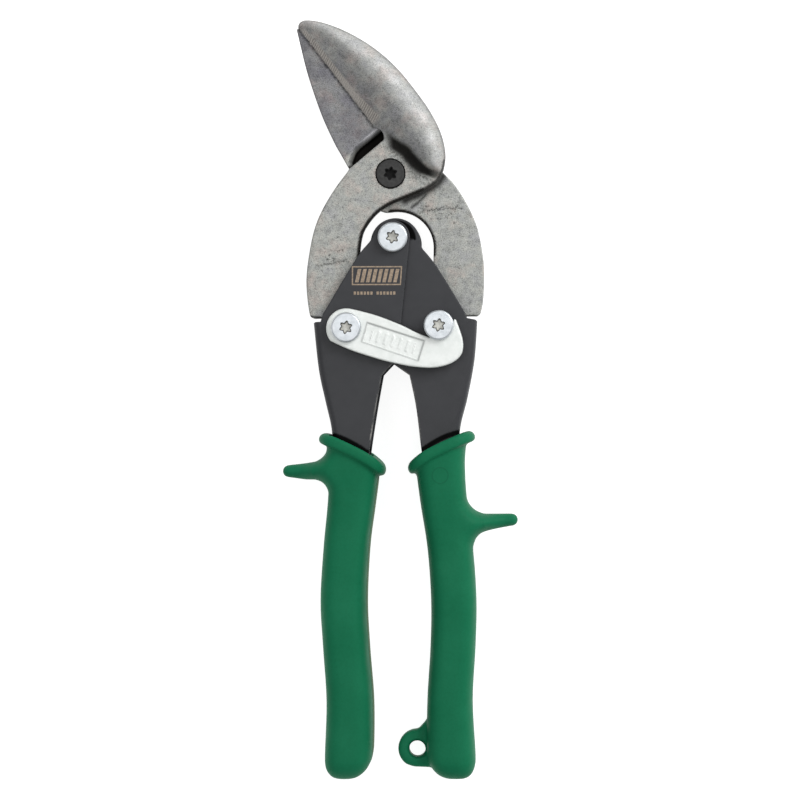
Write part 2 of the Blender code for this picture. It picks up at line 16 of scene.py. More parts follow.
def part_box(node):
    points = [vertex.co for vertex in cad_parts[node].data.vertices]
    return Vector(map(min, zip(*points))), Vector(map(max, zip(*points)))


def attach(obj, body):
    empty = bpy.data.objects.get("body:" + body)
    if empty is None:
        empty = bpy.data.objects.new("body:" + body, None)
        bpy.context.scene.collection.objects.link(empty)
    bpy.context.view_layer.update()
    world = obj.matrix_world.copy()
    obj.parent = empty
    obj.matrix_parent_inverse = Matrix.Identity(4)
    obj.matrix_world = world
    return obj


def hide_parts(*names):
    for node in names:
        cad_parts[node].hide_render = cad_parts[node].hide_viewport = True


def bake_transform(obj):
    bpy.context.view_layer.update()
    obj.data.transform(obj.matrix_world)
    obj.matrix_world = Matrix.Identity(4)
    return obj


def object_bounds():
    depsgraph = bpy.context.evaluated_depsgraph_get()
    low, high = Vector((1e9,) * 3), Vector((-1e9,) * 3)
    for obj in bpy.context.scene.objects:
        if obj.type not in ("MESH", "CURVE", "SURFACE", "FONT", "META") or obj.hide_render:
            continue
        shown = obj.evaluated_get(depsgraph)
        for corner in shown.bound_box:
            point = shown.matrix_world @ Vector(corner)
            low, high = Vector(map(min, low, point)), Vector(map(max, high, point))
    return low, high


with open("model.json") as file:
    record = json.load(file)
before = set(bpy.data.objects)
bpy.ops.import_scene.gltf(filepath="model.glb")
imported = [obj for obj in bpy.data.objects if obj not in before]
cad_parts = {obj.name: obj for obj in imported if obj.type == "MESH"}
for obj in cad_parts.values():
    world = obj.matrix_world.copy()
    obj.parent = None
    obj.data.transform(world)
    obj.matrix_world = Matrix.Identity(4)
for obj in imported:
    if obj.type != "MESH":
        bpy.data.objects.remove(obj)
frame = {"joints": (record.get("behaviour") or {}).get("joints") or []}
CAD_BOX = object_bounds()

MM = 0.001
MERGE = 0.00001


# Places from the frame


def pivot(joint):
    """A joint's place in plan."""
    place = next(item for item in frame["joints"] if item["name"] == joint)["pos_m"]
    return (place[0] / MM, place[1] / MM)


def levels(node):
    """A node's lowest and highest level."""
    low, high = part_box(node)
    return (low.z / MM, high.z / MM)


BLADE_PIVOT = (0.0, 0.0)
HANDLE_PIVOT = pivot("handle_pivot")
LEFT_LINK = pivot("left_link_pivot")
RIGHT_LINK = pivot("right_link_pivot")

OUTER_REAR, OUTER_FRONT = levels("left_handle")
INNER_REAR, INNER_FRONT = levels("right_handle")
LATCH_LOW, LATCH_TOP = levels("latch")
WASHER_LOW, WASHER_TOP = levels("latch_washer")
MID = (OUTER_REAR + OUTER_FRONT) / 2
GAP = 0.3
BLADE = 3.8
SHEET = 1.6
UPPER_LOW = MID + GAP / 2
UPPER_TOP = UPPER_LOW + BLADE
LOWER_TOP = MID - GAP / 2
LOWER_LOW = LOWER_TOP - BLADE
JAW_FACE = 13.85
LEAF_LOW = 14.15
SLOT_FLOOR = 8.6

SHAFT = 2.5
SHAFT_HOLE = SHAFT + GAP
BUSH = 3.7
BUSH_HOLE = BUSH + GAP
SHOULDER = 2.9
HEAD = 4.7
HEAD_HEIGHT = 2.1
RECESS = 1.82
RECESS_LOBE = 0.33
RECESS_LEDGE = 0.4
RECESS_TURN = 0.35
PIVOT_SHAFT = 3.0
PIVOT_HOLE = 3.35
SINK = 4.8
FLUSH_HEAD = 4.5

EDGE_NORMAL = np.array((-0.643, 0.766))
BOSS_EDGE = 9.6
WALL_TOP = 13.5
LUG = 6.8
RIGHT_LOBE = (1.7, -22.15)
WINDOW = (1.95, -23.35)
WINDOW_RADIUS = 11.6
TANG_END = -172.0

# The cutting edge of the upper blade, from tip to slot, and the wall where its leaf meets the boss.
CUT_TIP = (-29.3, 46.1)
CUT_ROOT = (-5.4, 14.8)
HEEL_WALL = ((-1.9, 11.4), (0.6, 9.6), (2.9, 8.1), (4.7, 7.0), (6.8, 4.5), (9.3, 2.2), (11.8, 0.5),
             (14.5, -0.5), (18.0, -0.9))
BEVEL_WIDTH = 3.9
GROOVE_PITCH = 0.8
GROOVE_DEPTH = 0.2
GROOVE_SLANT = 0.38
PIT_DEPTH = 0.16

EJECTOR = (15.9, -95.4)
EJECTOR_RADIUS = 2.5
LOOP = (8.45, -182.25)
LOOP_HOLE = 2.6
LOOP_RADIUS = 6.1


# Outlines


def arc(centre, radius, start, end, steps=24):
    """Points on an arc, with both ends, from start to end in degrees."""
    points = []
    for step in range(steps + 1):
        angle = math.radians(start + (end - start) * step / steps)
        points.append((centre[0] + radius * math.cos(angle), centre[1] + radius * math.sin(angle)))
    return points


def circle(centre, radius, steps=64):
    """A closed round outline."""
    return arc(centre, radius, 0.0, 360.0, steps)[:-1]


def smooth(points, steps=8):
    """An open Catmull-Rom run through points of any dimension, with both ends."""
    padded = np.array([points[0], *points, points[-1]], float)
    run = []
    for a, b, c, d in zip(padded, padded[1:], padded[2:], padded[3:]):
        for step in range(steps):
            t = step / steps
            run.append(tuple(0.5 * (2 * b + (c - a) * t + (2 * a - 5 * b + 4 * c - d) * t * t
                                    + (3 * b - a - 3 * c + d) * t ** 3)))
    run.append(tuple(padded[-1]))
    return run


def resample(outline, step):
    """A closed outline with points no further apart than a step; its own points are kept."""
    points = []
    for start, end in zip(outline, [*outline[1:], outline[0]]):
        count = max(1, math.ceil(math.dist(start, end) / step))
        for index in range(count):
            share = index / count
            points.append((start[0] + (end[0] - start[0]) * share, start[1] + (end[1] - start[1]) * share))
    return points


def offset(points, distance):
    """A closed anticlockwise outline moved outwards, or inwards for a negative distance."""
    here = np.array(points, float)
    before = here - np.roll(here, 1, axis=0)
    after = np.roll(here, -1, axis=0) - here
    normals = []
    for run in (before, after):
        length = np.maximum(np.linalg.norm(run, axis=1, keepdims=True), 1e-9)
        normals.append(np.stack((run[:, 1], -run[:, 0]), axis=1) / length)
    scale = distance / np.maximum(0.5, 1.0 + (normals[0] * normals[1]).sum(axis=1))
    return here + (normals[0] + normals[1]) * scale[:, None]


def gap_to(points, line, closed=False):
    """The distance from each point to a polyline."""
    points = np.asarray(points, float)
    line = np.asarray(line, float)
    ends = np.roll(line, -1, axis=0) if closed else line[1:]
    starts = line if closed else line[:-1]
    runs = ends - starts
    squared = np.maximum((runs ** 2).sum(axis=1), 1e-12)
    best = np.empty(len(points))
    for first in range(0, len(points), 2000):
        part = points[first:first + 2000]
        away = part[:, None, :] - starts[None]
        share = np.clip((away * runs[None]).sum(axis=2) / squared, 0.0, 1.0)
        nearest = away - share[:, :, None] * runs[None]
        best[first:first + 2000] = np.sqrt((nearest ** 2).sum(axis=2).min(axis=1))
    return best


def within(points, outline):
    """Whether each point is inside a closed outline."""
    points = np.asarray(points, float)
    outline = np.asarray(outline, float)
    inside = np.zeros(len(points), bool)
    for (ax, ay), (bx, by) in zip(outline, np.roll(outline, -1, axis=0)):
        if ay == by:
            continue
        crosses = (ay > points[:, 1]) != (by > points[:, 1])
        side = (bx - ax) * (points[:, 1] - ay) / (by - ay) + ax
        inside ^= crosses & (points[:, 0] < side)
    return inside


def step_up(values, low, high):
    """A smooth rise from 0 at low to 1 at high."""
    t = np.clip((values - low) / (high - low), 0.0, 1.0)
    return t * t * (3 - 2 * t)


def ease(distance, radius):
    """How far a rounded edge has dropped at a distance from it."""
    inner = np.clip(radius - distance, 0.0, radius)
    return radius - np.sqrt(np.maximum(radius ** 2 - inner ** 2, 0.0))


def ripple(points, size, amount, seed=0.0):
    """A gentle unevenness with features of a given size."""
    values = [noise.noise(Vector((x / size, y / size, seed))) for x, y in points]
    return np.array(values) * amount


# Solids


def add_object(name, mesh, finish=None):
    """An object in the scene, with one material if a finish is given."""
    made = bpy.data.objects.new(name, mesh)
    bpy.context.scene.collection.objects.link(made)
    if finish is not None:
        mesh.materials.clear()
        mesh.materials.append(finish)
    return made


def relief(name, outline, holes, top, bottom, spacing, finishes=(), fine=(), creases=()):
    """A solid between two height functions of (points, distance to the rim) over a flat outline.

    The holes are open all the way through, with walls of their own.
    The first finish is for the faces and the second, if there is one, for the side walls. Creases are
    runs of points that edges have to follow, and fine holds extra points for closer detail.
    """
    loops = [resample(loop, spacing * 0.8) for loop in (outline, *holes)]
    rim = np.array(loops[0], float)
    low, high = rim.min(axis=0), rim.max(axis=0)
    rows = np.arange(low[1], high[1], spacing * 0.866)
    grid = [(x + (index % 2) * spacing / 2, y) for index, y in enumerate(rows)
            for x in np.arange(low[0], high[0], spacing)]
    rings = [offset(loops[0], -depth) for depth in (0.07, 0.18, 0.34)]
    rings += [offset(loop, depth) for loop in loops[1:] for depth in (0.07, 0.18, 0.34)]
    cloud = np.vstack([grid, *rings, *[np.asarray(extra, float) for extra in fine if len(extra)]])
    keep = within(cloud, loops[0])
    for loop in loops[1:]:
        keep &= ~within(cloud, loop)
    cloud = cloud[keep]
    away = np.min([gap_to(cloud, loop, closed=True) for loop in loops], axis=0)
    cloud = cloud[away > 0.05]
    points = []
    edges = []
    for loop in loops:
        start = len(points)
        points += [Vector(point) for point in loop]
        edges += [(start + index, start + (index + 1) % len(loop)) for index in range(len(loop))]
    for run in creases:
        start = len(points)
        points += [Vector(point[:2]) for point in run]
        edges += [(start + index, start + index + 1) for index in range(len(run) - 1)]
    points += [Vector(point) for point in cloud]
    flat, _, faces, *_ = geometry.delaunay_2d_cdt(points, edges, [], 2, 1e-5)
    plan = np.array([point[:] for point in flat])
    rim_gap = np.min([gap_to(plan, loop, closed=True) for loop in loops], axis=0)
    count = len(plan)
    upper = np.column_stack((plan, top(plan, rim_gap)))
    lower = np.column_stack((plan, bottom(plan, rim_gap)))
    middles = np.array([plan[list(face)].mean(axis=0) for face in faces])
    bored = np.zeros(len(faces), bool)
    for loop in loops[1:]:
        bored |= within(middles, loop)
    skin = [tuple(face) for face, open_here in zip(faces, bored) if not open_here]
    seen = {(start, end) for face in skin for start, end in zip(face, (*face[1:], face[0]))}
    sides = [(end, start, start + count, end + count) for start, end in seen if (end, start) not in seen]
    base = [tuple(index + count for index in reversed(face)) for face in skin]
    mesh = bpy.data.meshes.new(name)
    mesh.from_pydata((np.vstack((upper, lower)) * MM).tolist(), [], skin + base + sides)
    for finish in finishes:
        mesh.materials.append(finish)
    if len(finishes) > 1:
        mesh.polygons.foreach_set("material_index", [0] * (2 * len(skin)) + [1] * len(sides))
    fix_normals(mesh)
    return add_object(name, mesh)


def fix_normals(mesh):
    """Removes loose points and turns every face outwards."""
    work = bmesh.new()
    work.from_mesh(mesh)
    loose = [vert for vert in work.verts if not vert.link_faces]
    bmesh.ops.delete(work, geom=loose, context="VERTS")
    bmesh.ops.recalc_face_normals(work, faces=work.faces)
    work.to_mesh(mesh)
    work.free()


def evaluated_mesh(item):
    """An object's mesh as its modifiers leave it, in the CAD's frame; the object is removed."""
    bpy.context.view_layer.update()
    shown = item.evaluated_get(bpy.context.evaluated_depsgraph_get())
    mesh = bpy.data.meshes.new_from_object(shown)
    mesh.transform(item.matrix_world)
    bpy.data.objects.remove(item, do_unlink=True)
    work = bmesh.new()
    work.from_mesh(mesh)
    bmesh.ops.remove_doubles(work, verts=work.verts, dist=MERGE / 10)
    work.to_mesh(mesh)
    work.free()
    return mesh


def plate(name, outline, low, high, finish=None, holes=(), bevel=0.0):
    """A flat outline, with holes, made into a plate with rounded edges."""
    curve = bpy.data.curves.new(name, "CURVE")
    curve.dimensions = "2D"
    curve.fill_mode = "BOTH"
    curve.extrude = ((high - low) / 2 - bevel) * MM
    curve.bevel_depth = bevel * MM
    curve.bevel_resolution = 3
    curve.offset = -bevel * MM
    for loop in (outline, *holes):
        spline = curve.splines.new("POLY")
        spline.points.add(len(loop) - 1)
        for point, (x, y) in zip(spline.points, loop):
            point.co = (x * MM, y * MM, 0.0, 1.0)
        spline.use_cyclic_u = True
    guide = bpy.data.objects.new(name + "_outline", curve)
    guide.location.z = (high + low) / 2 * MM
    bpy.context.scene.collection.objects.link(guide)
    mesh = evaluated_mesh(guide)
    fix_normals(mesh)
    return add_object(name, mesh, finish)


def turned(name, profile, centre, finish=None, steps=72):
    """A profile of (radius, height) points, listed down the outer side, turned about +Z."""
    mesh = bpy.data.meshes.new(name)
    edges = [(index, index + 1) for index in range(len(profile) - 1)]
    if profile[0][0] > 0.0:
        edges.append((len(profile) - 1, 0))
    mesh.from_pydata([(radius * MM, 0.0, height * MM) for radius, height in profile], edges, [])
    made = add_object(name, mesh)
    made.location = (centre[0] * MM, centre[1] * MM, 0.0)
    screw = made.modifiers.new("turn", "SCREW")
    screw.steps = steps
    screw.render_steps = steps
    screw.use_merge_vertices = True
    screw.merge_threshold = MERGE
    mesh = evaluated_mesh(made)
    fix_normals(mesh)
    return add_object(name, mesh, finish)


def tube(name, points, radius, finish, resolution=3):
    """A round wire through the points, as a mesh."""
    curve = bpy.data.curves.new(name, "CURVE")
    curve.dimensions = "3D"
    curve.bevel_depth = radius * MM
    curve.bevel_resolution = resolution
    curve.use_fill_caps = True
    spline = curve.splines.new("POLY")
    spline.points.add(len(points) - 1)
    for point, place in zip(spline.points, points):
        point.co = (*(value * MM for value in place), 1.0)
    guide = bpy.data.objects.new(name + "_guide", curve)
    bpy.context.scene.collection.objects.link(guide)
    return add_object(name, evaluated_mesh(guide), finish)


def loft(name, rings):
    """A closed skin through rings of equal length, with flat ends."""
    work = bmesh.new()
    rows = [[work.verts.new([value * MM for value in point]) for point in ring] for ring in rings]
    count = len(rows[0])
    for row, following in zip(rows, rows[1:]):
        for index in range(count):
            after = (index + 1) % count
            work.faces.new((row[index], row[after], following[after], following[index]))
    work.faces.new(rows[0])
    work.faces.new(rows[-1])
    bmesh.ops.recalc_face_normals(work, faces=work.faces)
    mesh = bpy.data.meshes.new(name)
    work.to_mesh(mesh)
    work.free()
    return add_object(name, mesh)


def combine(target, other, operation):
    """A Boolean that is applied at once; the other solid is used up."""
    change = target.modifiers.new("change", "BOOLEAN")
    change.operation = operation
    change.solver = "EXACT"
    change.object = other
    name = target.name
    mesh = evaluated_mesh(target)
    bpy.data.objects.remove(other, do_unlink=True)
    return add_object(name, mesh)


def join_shells(name, *items):
    """One object from several overlapping closed shells."""
    work = bmesh.new()
    for item in items:
        item.data.transform(item.matrix_world)
        work.from_mesh(item.data)
        bpy.data.objects.remove(item, do_unlink=True)
    mesh = bpy.data.meshes.new(name)
    work.to_mesh(mesh)
    work.free()
    return add_object(name, mesh)


def finish_piece(item, body, nodes, sharp=38.0):
    """Shades a piece, hides the CAD parts that it stands for, and puts it on the body that it rides on."""
    item.data.shade_smooth()
    item.data.set_sharp_from_angle(angle=math.radians(sharp))
    weigh = item.modifiers.new("normals", "WEIGHTED_NORMAL")
    weigh.keep_sharp = True
    weigh.weight = 80
    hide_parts(*nodes)
    if body is not None:
        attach(item, body)
    return item


# Materials


class Nodes:
    """A short way to build a material's node tree."""

    def __init__(self, name):
        self.material = bpy.data.materials.new(name)
        self.material.use_nodes = True
        self.tree = self.material.node_tree
        self.shader = self.tree.nodes["Principled BSDF"]
        self.place = self.add("ShaderNodeTexCoord").outputs["Object"]

    def add(self, kind, **values):
        node = self.tree.nodes.new(kind)
        for key, value in values.items():
            setattr(node, key, value)
        return node

    def link(self, source, target):
        self.tree.links.new(source, target)

    def noise(self, size, detail=4.0, rough=0.6, stretch=None):
        """A noise whose features are about a given size in millimetres."""
        node = self.add("ShaderNodeTexNoise")
        node.inputs["Scale"].default_value = 1.0 / (size * MM)
        node.inputs["Detail"].default_value = detail
        node.inputs["Roughness"].default_value = rough
        place = self.place
        if stretch is not None:
            mapping = self.add("ShaderNodeMapping")
            mapping.inputs["Scale"].default_value = stretch
            self.link(place, mapping.inputs["Vector"])
            place = mapping.outputs["Vector"]
        self.link(place, node.inputs["Vector"])
        return node.outputs["Fac"]

    def ramp(self, source, stops):
        """Colours along a 0 to 1 value."""
        node = self.add("ShaderNodeValToRGB")
        elements = node.color_ramp.elements
        while len(elements) < len(stops):
            elements.new(0.5)
        for element, (place, colour) in zip(elements, stops):
            element.position = place
            element.color = (*colour, 1.0)
        self.link(source, node.inputs["Fac"])
        return node.outputs["Color"]

    def mix(self, factor, first, second, blend="MIX"):
        node = self.add("ShaderNodeMix", data_type="RGBA", blend_type=blend)
        sockets = [socket for socket in node.inputs if socket.type == "RGBA"]
        for value, socket in ((first, sockets[0]), (second, sockets[1])):
            if isinstance(value, tuple):
                socket.default_value = (*value, 1.0)
            else:
                self.link(value, socket)
        if isinstance(factor, float):
            node.inputs["Factor"].default_value = factor
        else:
            self.link(factor, node.inputs["Factor"])
        return next(socket for socket in node.outputs if socket.type == "RGBA")

    def spread(self, source, low, high, start=0.3, end=0.7):
        """A value moved into a range."""
        node = self.add("ShaderNodeMapRange")
        node.inputs["From Min"].default_value = start
        node.inputs["From Max"].default_value = end
        node.inputs["To Min"].default_value = low
        node.inputs["To Max"].default_value = high
        self.link(source, node.inputs["Value"])
        return node.outputs["Result"]

    def math(self, operation, first, second=0.0):
        node = self.add("ShaderNodeMath", operation=operation)
        for value, socket in zip((first, second), node.inputs):
            if isinstance(value, float):
                socket.default_value = value
            else:
                self.link(value, socket)
        return node.outputs["Value"]

    def axes(self):
        """The place in the CAD's frame, as three values in metres."""
        node = self.add("ShaderNodeSeparateXYZ")
        self.link(self.place, node.inputs["Vector"])
        return [node.outputs[axis] for axis in "XYZ"]

    def ridge(self, value, width):
        """1 where a value is nought, fading to 0 a width away from it on both sides."""
        return self.spread(self.math("ABSOLUTE", value), 1.0, 0.0, 0.0, width)

    def bump(self, *layers):
        """Stacked bumps, each a (height source, strength, depth in millimetres)."""
        last = None
        for source, strength, depth in layers:
            node = self.add("ShaderNodeBump")
            node.inputs["Strength"].default_value = strength
            node.inputs["Distance"].default_value = depth * MM
            self.link(source, node.inputs["Height"])
            if last is not None:
                self.link(last, node.inputs["Normal"])
            last = node.outputs["Normal"]
        self.link(last, self.shader.inputs["Normal"])

    def attribute(self, name):
        node = self.add("ShaderNodeAttribute", attribute_name=name)
        return node.outputs["Fac"]

    def dull_where_shade_painted(self, plain):
        """The specular level: plain, and nearly none where shade is painted near black."""
        level = self.spread(self.attribute("painted_shade"), plain, 0.02, 0.0, 1.0)
        self.link(level, self.shader.inputs["Specular IOR Level"])

    def set(self, **values):
        for key, value in values.items():
            self.shader.inputs[key.replace("_", " ")].default_value = value


def plain_finish(name, mottle, stops, gloss, bumps, **values):
    """A mottled colour, an uneven gloss and fine bumps.

    mottle is a noise; gloss is a noise and its range; each bump is a noise, a strength and a depth.
    """
    made = Nodes(name)
    made.link(made.ramp(made.noise(*mottle), stops), made.shader.inputs["Base Color"])
    made.set(**values)
    sheen, (low, high) = gloss
    made.link(made.spread(made.noise(*sheen), low, high), made.shader.inputs["Roughness"])
    made.bump(*[(made.noise(*grain), strength, depth) for grain, strength, depth in bumps])
    return made.material


def blade_steel():
    """Tumbled forged steel: blue, grey and brown mottling, fine dark speckle, painted shade and painted
    highlights.
    """
    made = Nodes("blade_steel")
    cool, plain, warm = (0.41, 0.417, 0.418), (0.445, 0.455, 0.43), (0.49, 0.452, 0.42)
    tint = made.ramp(made.noise(7.0, 5.0, 0.65), ((0.34, cool), (0.5, plain), (0.66, warm)))
    patch = made.ramp(made.noise(1.9, 6.0, 0.75), ((0.3, (0.55, 0.55, 0.56)), (0.5, (1.0, 1.0, 1.0)),
                                                   (0.70, (1.22, 1.20, 1.18))))
    colour = made.mix(0.85, tint, patch, "MULTIPLY")
    fleck = made.ramp(made.noise(0.3, 4.0, 0.75), ((0.37, (0.25, 0.245, 0.24)), (0.46, (0.92, 0.92, 0.92)),
                                                    (0.62, (1.25, 1.25, 1.25))))
    colour = made.mix(0.85, colour, fleck, "MULTIPLY")
    # The shade layer darkens with a blue-violet tint: painted shade with the temper colour on the upper leaf,
    # a darker tone on the lower jaw.
    colour = made.mix(made.attribute("shade"), colour, (0.415, 0.40, 0.465), "MULTIPLY")
    # A painted highlight, partly burnish on the upper leaf's crest, where the highlight layer says.
    highlight_colour = made.mix(0.6, (0.76, 0.76, 0.78), fleck, "MULTIPLY")
    colour = made.mix(made.attribute("painted_highlight"), colour, highlight_colour)
    filed = made.mix(0.6, (0.50, 0.47, 0.44), fleck, "MULTIPLY")
    colour = made.mix(made.attribute("filed"), colour, filed)
    # Near black as painted shade: the heel's hollow, the slot, pits, creases, edges seen dark and the upper
    # boss's cast shadow.
    colour = made.mix(made.attribute("painted_shade"), colour, (0.010, 0.009, 0.008))
    made.link(colour, made.shader.inputs["Base Color"])
    made.set(Metallic=0.4)
    made.dull_where_shade_painted(0.25)
    made.link(made.spread(made.noise(4.0, 5.0, 0.7), 0.52, 0.72), made.shader.inputs["Roughness"])
    made.bump((made.noise(1.1, 4.0, 0.65), 0.35, 0.10), (made.noise(0.35, 3.0), 0.45, 0.035))
    return made.material


def side_wall_shade():
    """The blades' side walls: rough, and coloured nearly black as painted shade."""
    return plain_finish("side_wall_shade", (1.6, 5.0, 0.7),
                        ((0.35, (0.018, 0.017, 0.016)), (0.7, (0.07, 0.066, 0.06))),
                        ((1.0, 4.0), (0.5, 0.75)), (((0.7, 4.0), 0.4, 0.08), ((0.2, 3.0), 0.3, 0.02)),
                        Metallic=0.3)


def handle_paint():
    """Dark grey satin coat over sheet steel, with a faint orange peel, pale worn edges that are partly a
    painted highlight, and painted shadow.
    """
    made = Nodes("handle_paint")
    shade = made.ramp(made.noise(18.0, 3.0), ((0.3, (0.036, 0.037, 0.041)), (0.7, (0.041, 0.042, 0.047))))
    patches = made.spread(made.noise(3.0, 5.0), 0.1, 1.0, 0.4, 0.6)
    # Bare-steel colour along the rims: partly wear, partly a painted highlight of the edges.
    worn_and_glinting = made.math("MULTIPLY", made.attribute("edge_wear_and_glint"), patches)
    colour = made.mix(worn_and_glinting, shade, (0.33, 0.32, 0.30))
    # Near black as painted shadow: above the grips' collars and round the handle pivot.
    colour = made.mix(made.attribute("painted_shade"), colour, (0.003, 0.003, 0.003))
    made.link(colour, made.shader.inputs["Base Color"])
    made.set(Metallic=0.0)
    made.dull_where_shade_painted(0.3)
    made.link(made.spread(made.noise(3.0, 4.0), 0.44, 0.54), made.shader.inputs["Roughness"])
    made.bump((made.noise(0.8, 3.0), 0.12, 0.03), (made.noise(0.25, 2.0), 0.1, 0.01))
    return made.material


def handle_side_shade():
    """The handles' sheared sides, coloured nearly black as painted shade."""
    return plain_finish("handle_side_shade", (1.2, 4.0),
                        ((0.35, (0.010, 0.010, 0.010)), (0.7, (0.035, 0.034, 0.032))),
                        ((0.8, 4.0), (0.5, 0.7)),
                        (((0.4, 3.0, 0.6, (4.0, 4.0, 0.4)), 0.3, 0.03), ((0.2, 2.0), 0.2, 0.01)))


def recess_dark():
    """Steel at the bottom of a driver recess, coloured nearly black as painted shade."""
    return plain_finish("recess_dark", (0.5, 4.0),
                        ((0.3, (0.003, 0.003, 0.003)), (0.7, (0.012, 0.012, 0.012))),
                        ((0.4, 3.0), (0.6, 0.8)), (((0.3, 3.0), 0.3, 0.03), ((0.8, 2.0), 0.1, 0.02)),
                        Metallic=0.0, Specular_IOR_Level=0.2)


def zinc(name, low, high, gloss):
    """Plated steel with faint clouding and fine wear, between two colours."""
    return plain_finish(name, (2.2, 4.0, 0.6), ((0.3, low), (0.7, high)), ((1.5, 4.0), gloss),
                        (((0.5, 3.0), 0.12, 0.03), ((3.0, 2.0), 0.1, 0.08)), Metallic=0.9)


def latch_zinc():
    """Pale matt plating on the stamped latch, with painted shade along the sunk panel's edge and the rim."""
    made = Nodes("latch_zinc")
    cloud = made.ramp(made.noise(3.0, 5.0, 0.65), ((0.32, (0.82, 0.855, 0.83)), (0.68, (0.93, 0.955, 0.935))))
    # Darker along the panel's edge and the rim: painted shade.
    colour = made.mix(made.attribute("crease_shade"), cloud, (0.30, 0.32, 0.31))
    made.link(colour, made.shader.inputs["Base Color"])
    made.set(Metallic=0.3, Specular_IOR_Level=0.35)
    made.link(made.spread(made.noise(2.0, 4.0), 0.46, 0.6), made.shader.inputs["Roughness"])
    made.bump((made.noise(0.6, 3.0), 0.2, 0.03), (made.noise(0.2, 2.0), 0.15, 0.01))
    return made.material


def black_oxide():
    """Blackened steel with a grey bloom and a fine grain."""
    return plain_finish("black_oxide", (1.0, 4.0, 0.7),
                        ((0.3, (0.022, 0.022, 0.0215)), (0.7, (0.046, 0.046, 0.045))),
                        ((0.7, 4.0), (0.42, 0.6)), (((0.3, 3.0), 0.2, 0.02), ((1.5, 2.0), 0.1, 0.03)),
                        Metallic=0.35)


def spring_steel():
    """Oiled spring wire with a fine grain."""
    return plain_finish("spring_steel", (1.2, 4.0),
                        ((0.3, (0.16, 0.16, 0.165)), (0.7, (0.30, 0.30, 0.31))),
                        ((0.8, 3.0), (0.25, 0.4)), (((0.3, 3.0), 0.1, 0.01), ((1.0, 2.0), 0.05, 0.02)),
                        Metallic=0.95)


def grip_vinyl():
    """Satin green moulded vinyl: soft grain, the mould's parting line, coloured pale as painted light of the
    lit side, and an ejector pin's ring.
    """
    made = Nodes("grip_green")
    shade = made.ramp(made.noise(16.0, 4.0), ((0.3, (0.006, 0.146, 0.066)), (0.7, (0.0105, 0.169, 0.080))))
    fleck = made.ramp(made.noise(0.8, 3.0), ((0.3, (0.88, 0.92, 0.90)), (0.6, (1.0, 1.0, 1.0))))
    colour = made.mix(0.8, shade, fleck, "MULTIPLY")
    x, y, z = made.axes()
    parting = made.ridge(made.math("SUBTRACT", z, MID * MM), 0.42 * MM)
    # The parting line's pale colour is painted light, standing for the grip's lit side wall.
    colour = made.mix(made.math("MULTIPLY", parting, 0.85), colour, (0.30, 0.32, 0.24))
    across = made.math("SUBTRACT", x, EJECTOR[0] * MM)
    along = made.math("SUBTRACT", y, EJECTOR[1] * MM)
    reach = made.math("SQRT", made.math("ADD", made.math("MULTIPLY", across, across),
                                        made.math("MULTIPLY", along, along)))
    ring = made.ridge(made.math("SUBTRACT", reach, EJECTOR_RADIUS * MM), 0.3 * MM)
    colour = made.mix(made.math("MULTIPLY", ring, 0.3), colour, (0.004, 0.06, 0.03))
    made.link(colour, made.shader.inputs["Base Color"])
    made.set(Metallic=0.0, Specular_IOR_Level=0.08)
    made.link(made.spread(made.noise(6.0, 4.0), 0.46, 0.6), made.shader.inputs["Roughness"])
    made.bump((parting, 0.5, 0.12), (ring, 0.35, 0.08), (made.noise(0.5, 3.0), 0.18, 0.03),
              (made.noise(6.0, 2.0), 0.15, 0.15))
    return made.material


def mark_tan():
    """Laser-burnt tan in the coat."""
    return plain_finish("mark_tan", (0.5, 4.0),
                        ((0.35, (0.25, 0.19, 0.135)), (0.65, (0.44, 0.34, 0.25))),
                        ((0.4, 3.0), (0.55, 0.75)), (((0.2, 3.0), 0.2, 0.01), ((0.6, 2.0), 0.1, 0.01)),
                        Metallic=0.1)


# Blades

CUT_RUN = np.array(CUT_ROOT) - np.array(CUT_TIP)
CUT_LENGTH = float(np.linalg.norm(CUT_RUN))
CUT_ALONG = CUT_RUN / CUT_LENGTH
CUT_ACROSS = np.array((-CUT_ALONG[1], CUT_ALONG[0]))
LEAF_OUTER = smooth([(14.5, -2.7), (16.0, -0.5), (17.0, 2.4), (17.3, 6.7), (16.0, 12.6), (12.6, 19.4),
                     (8.2, 25.7), (2.9, 32.3), (-2.4, 37.4), (-8.3, 41.7), (-15.1, 45.4), (-21.4, 47.75),
                     (-26.1, 48.6), (-28.2, 48.3), (-29.2, 47.3), CUT_TIP])
HEEL_CURVE = smooth(HEEL_WALL)
# The leaf's cross-section: height for each share of the way from cutting edge to outer edge.
CROWN = smooth([(0.0, 0.02), (0.06, 0.20), (0.16, 0.42), (0.32, 0.68), (0.48, 0.88), (0.62, 0.98),
                (0.72, 1.0), (0.82, 0.94), (0.90, 0.81), (0.96, 0.62), (1.0, 0.40)])
CROWN_ACROSS, CROWN_HEIGHT = np.array(CROWN).T


def along_edge(distance, along):
    """A point at a distance from the blade pivot and a way along the milled slot's direction."""
    return (EDGE_NORMAL[0] * distance + EDGE_NORMAL[1] * along,
            EDGE_NORMAL[1] * distance - EDGE_NORMAL[0] * along)


TAIL_EDGE = smooth([(-13.9, 0.3), (-17.9, -5.1), (-21.9, -11.9), (-24.4, -18.4), (-26.0, -26.5),
                    (-26.7, -33.4), (-26.4, -39.5), (-25.7, -44.2), (-25.2, -45.4), (-24.3, -45.9)])
# The upper blade's edge round the window and under the boss.
INNER_RIM = smooth([(-8.4, -42.0), (-9.7, -34.0), (-9.8, -26.0), (-8.9, -19.5), (-7.0, -15.8),
                    (-4.3, -12.6), (-0.5, -9.9), (4.4, -7.8), (10.2, -5.4)])


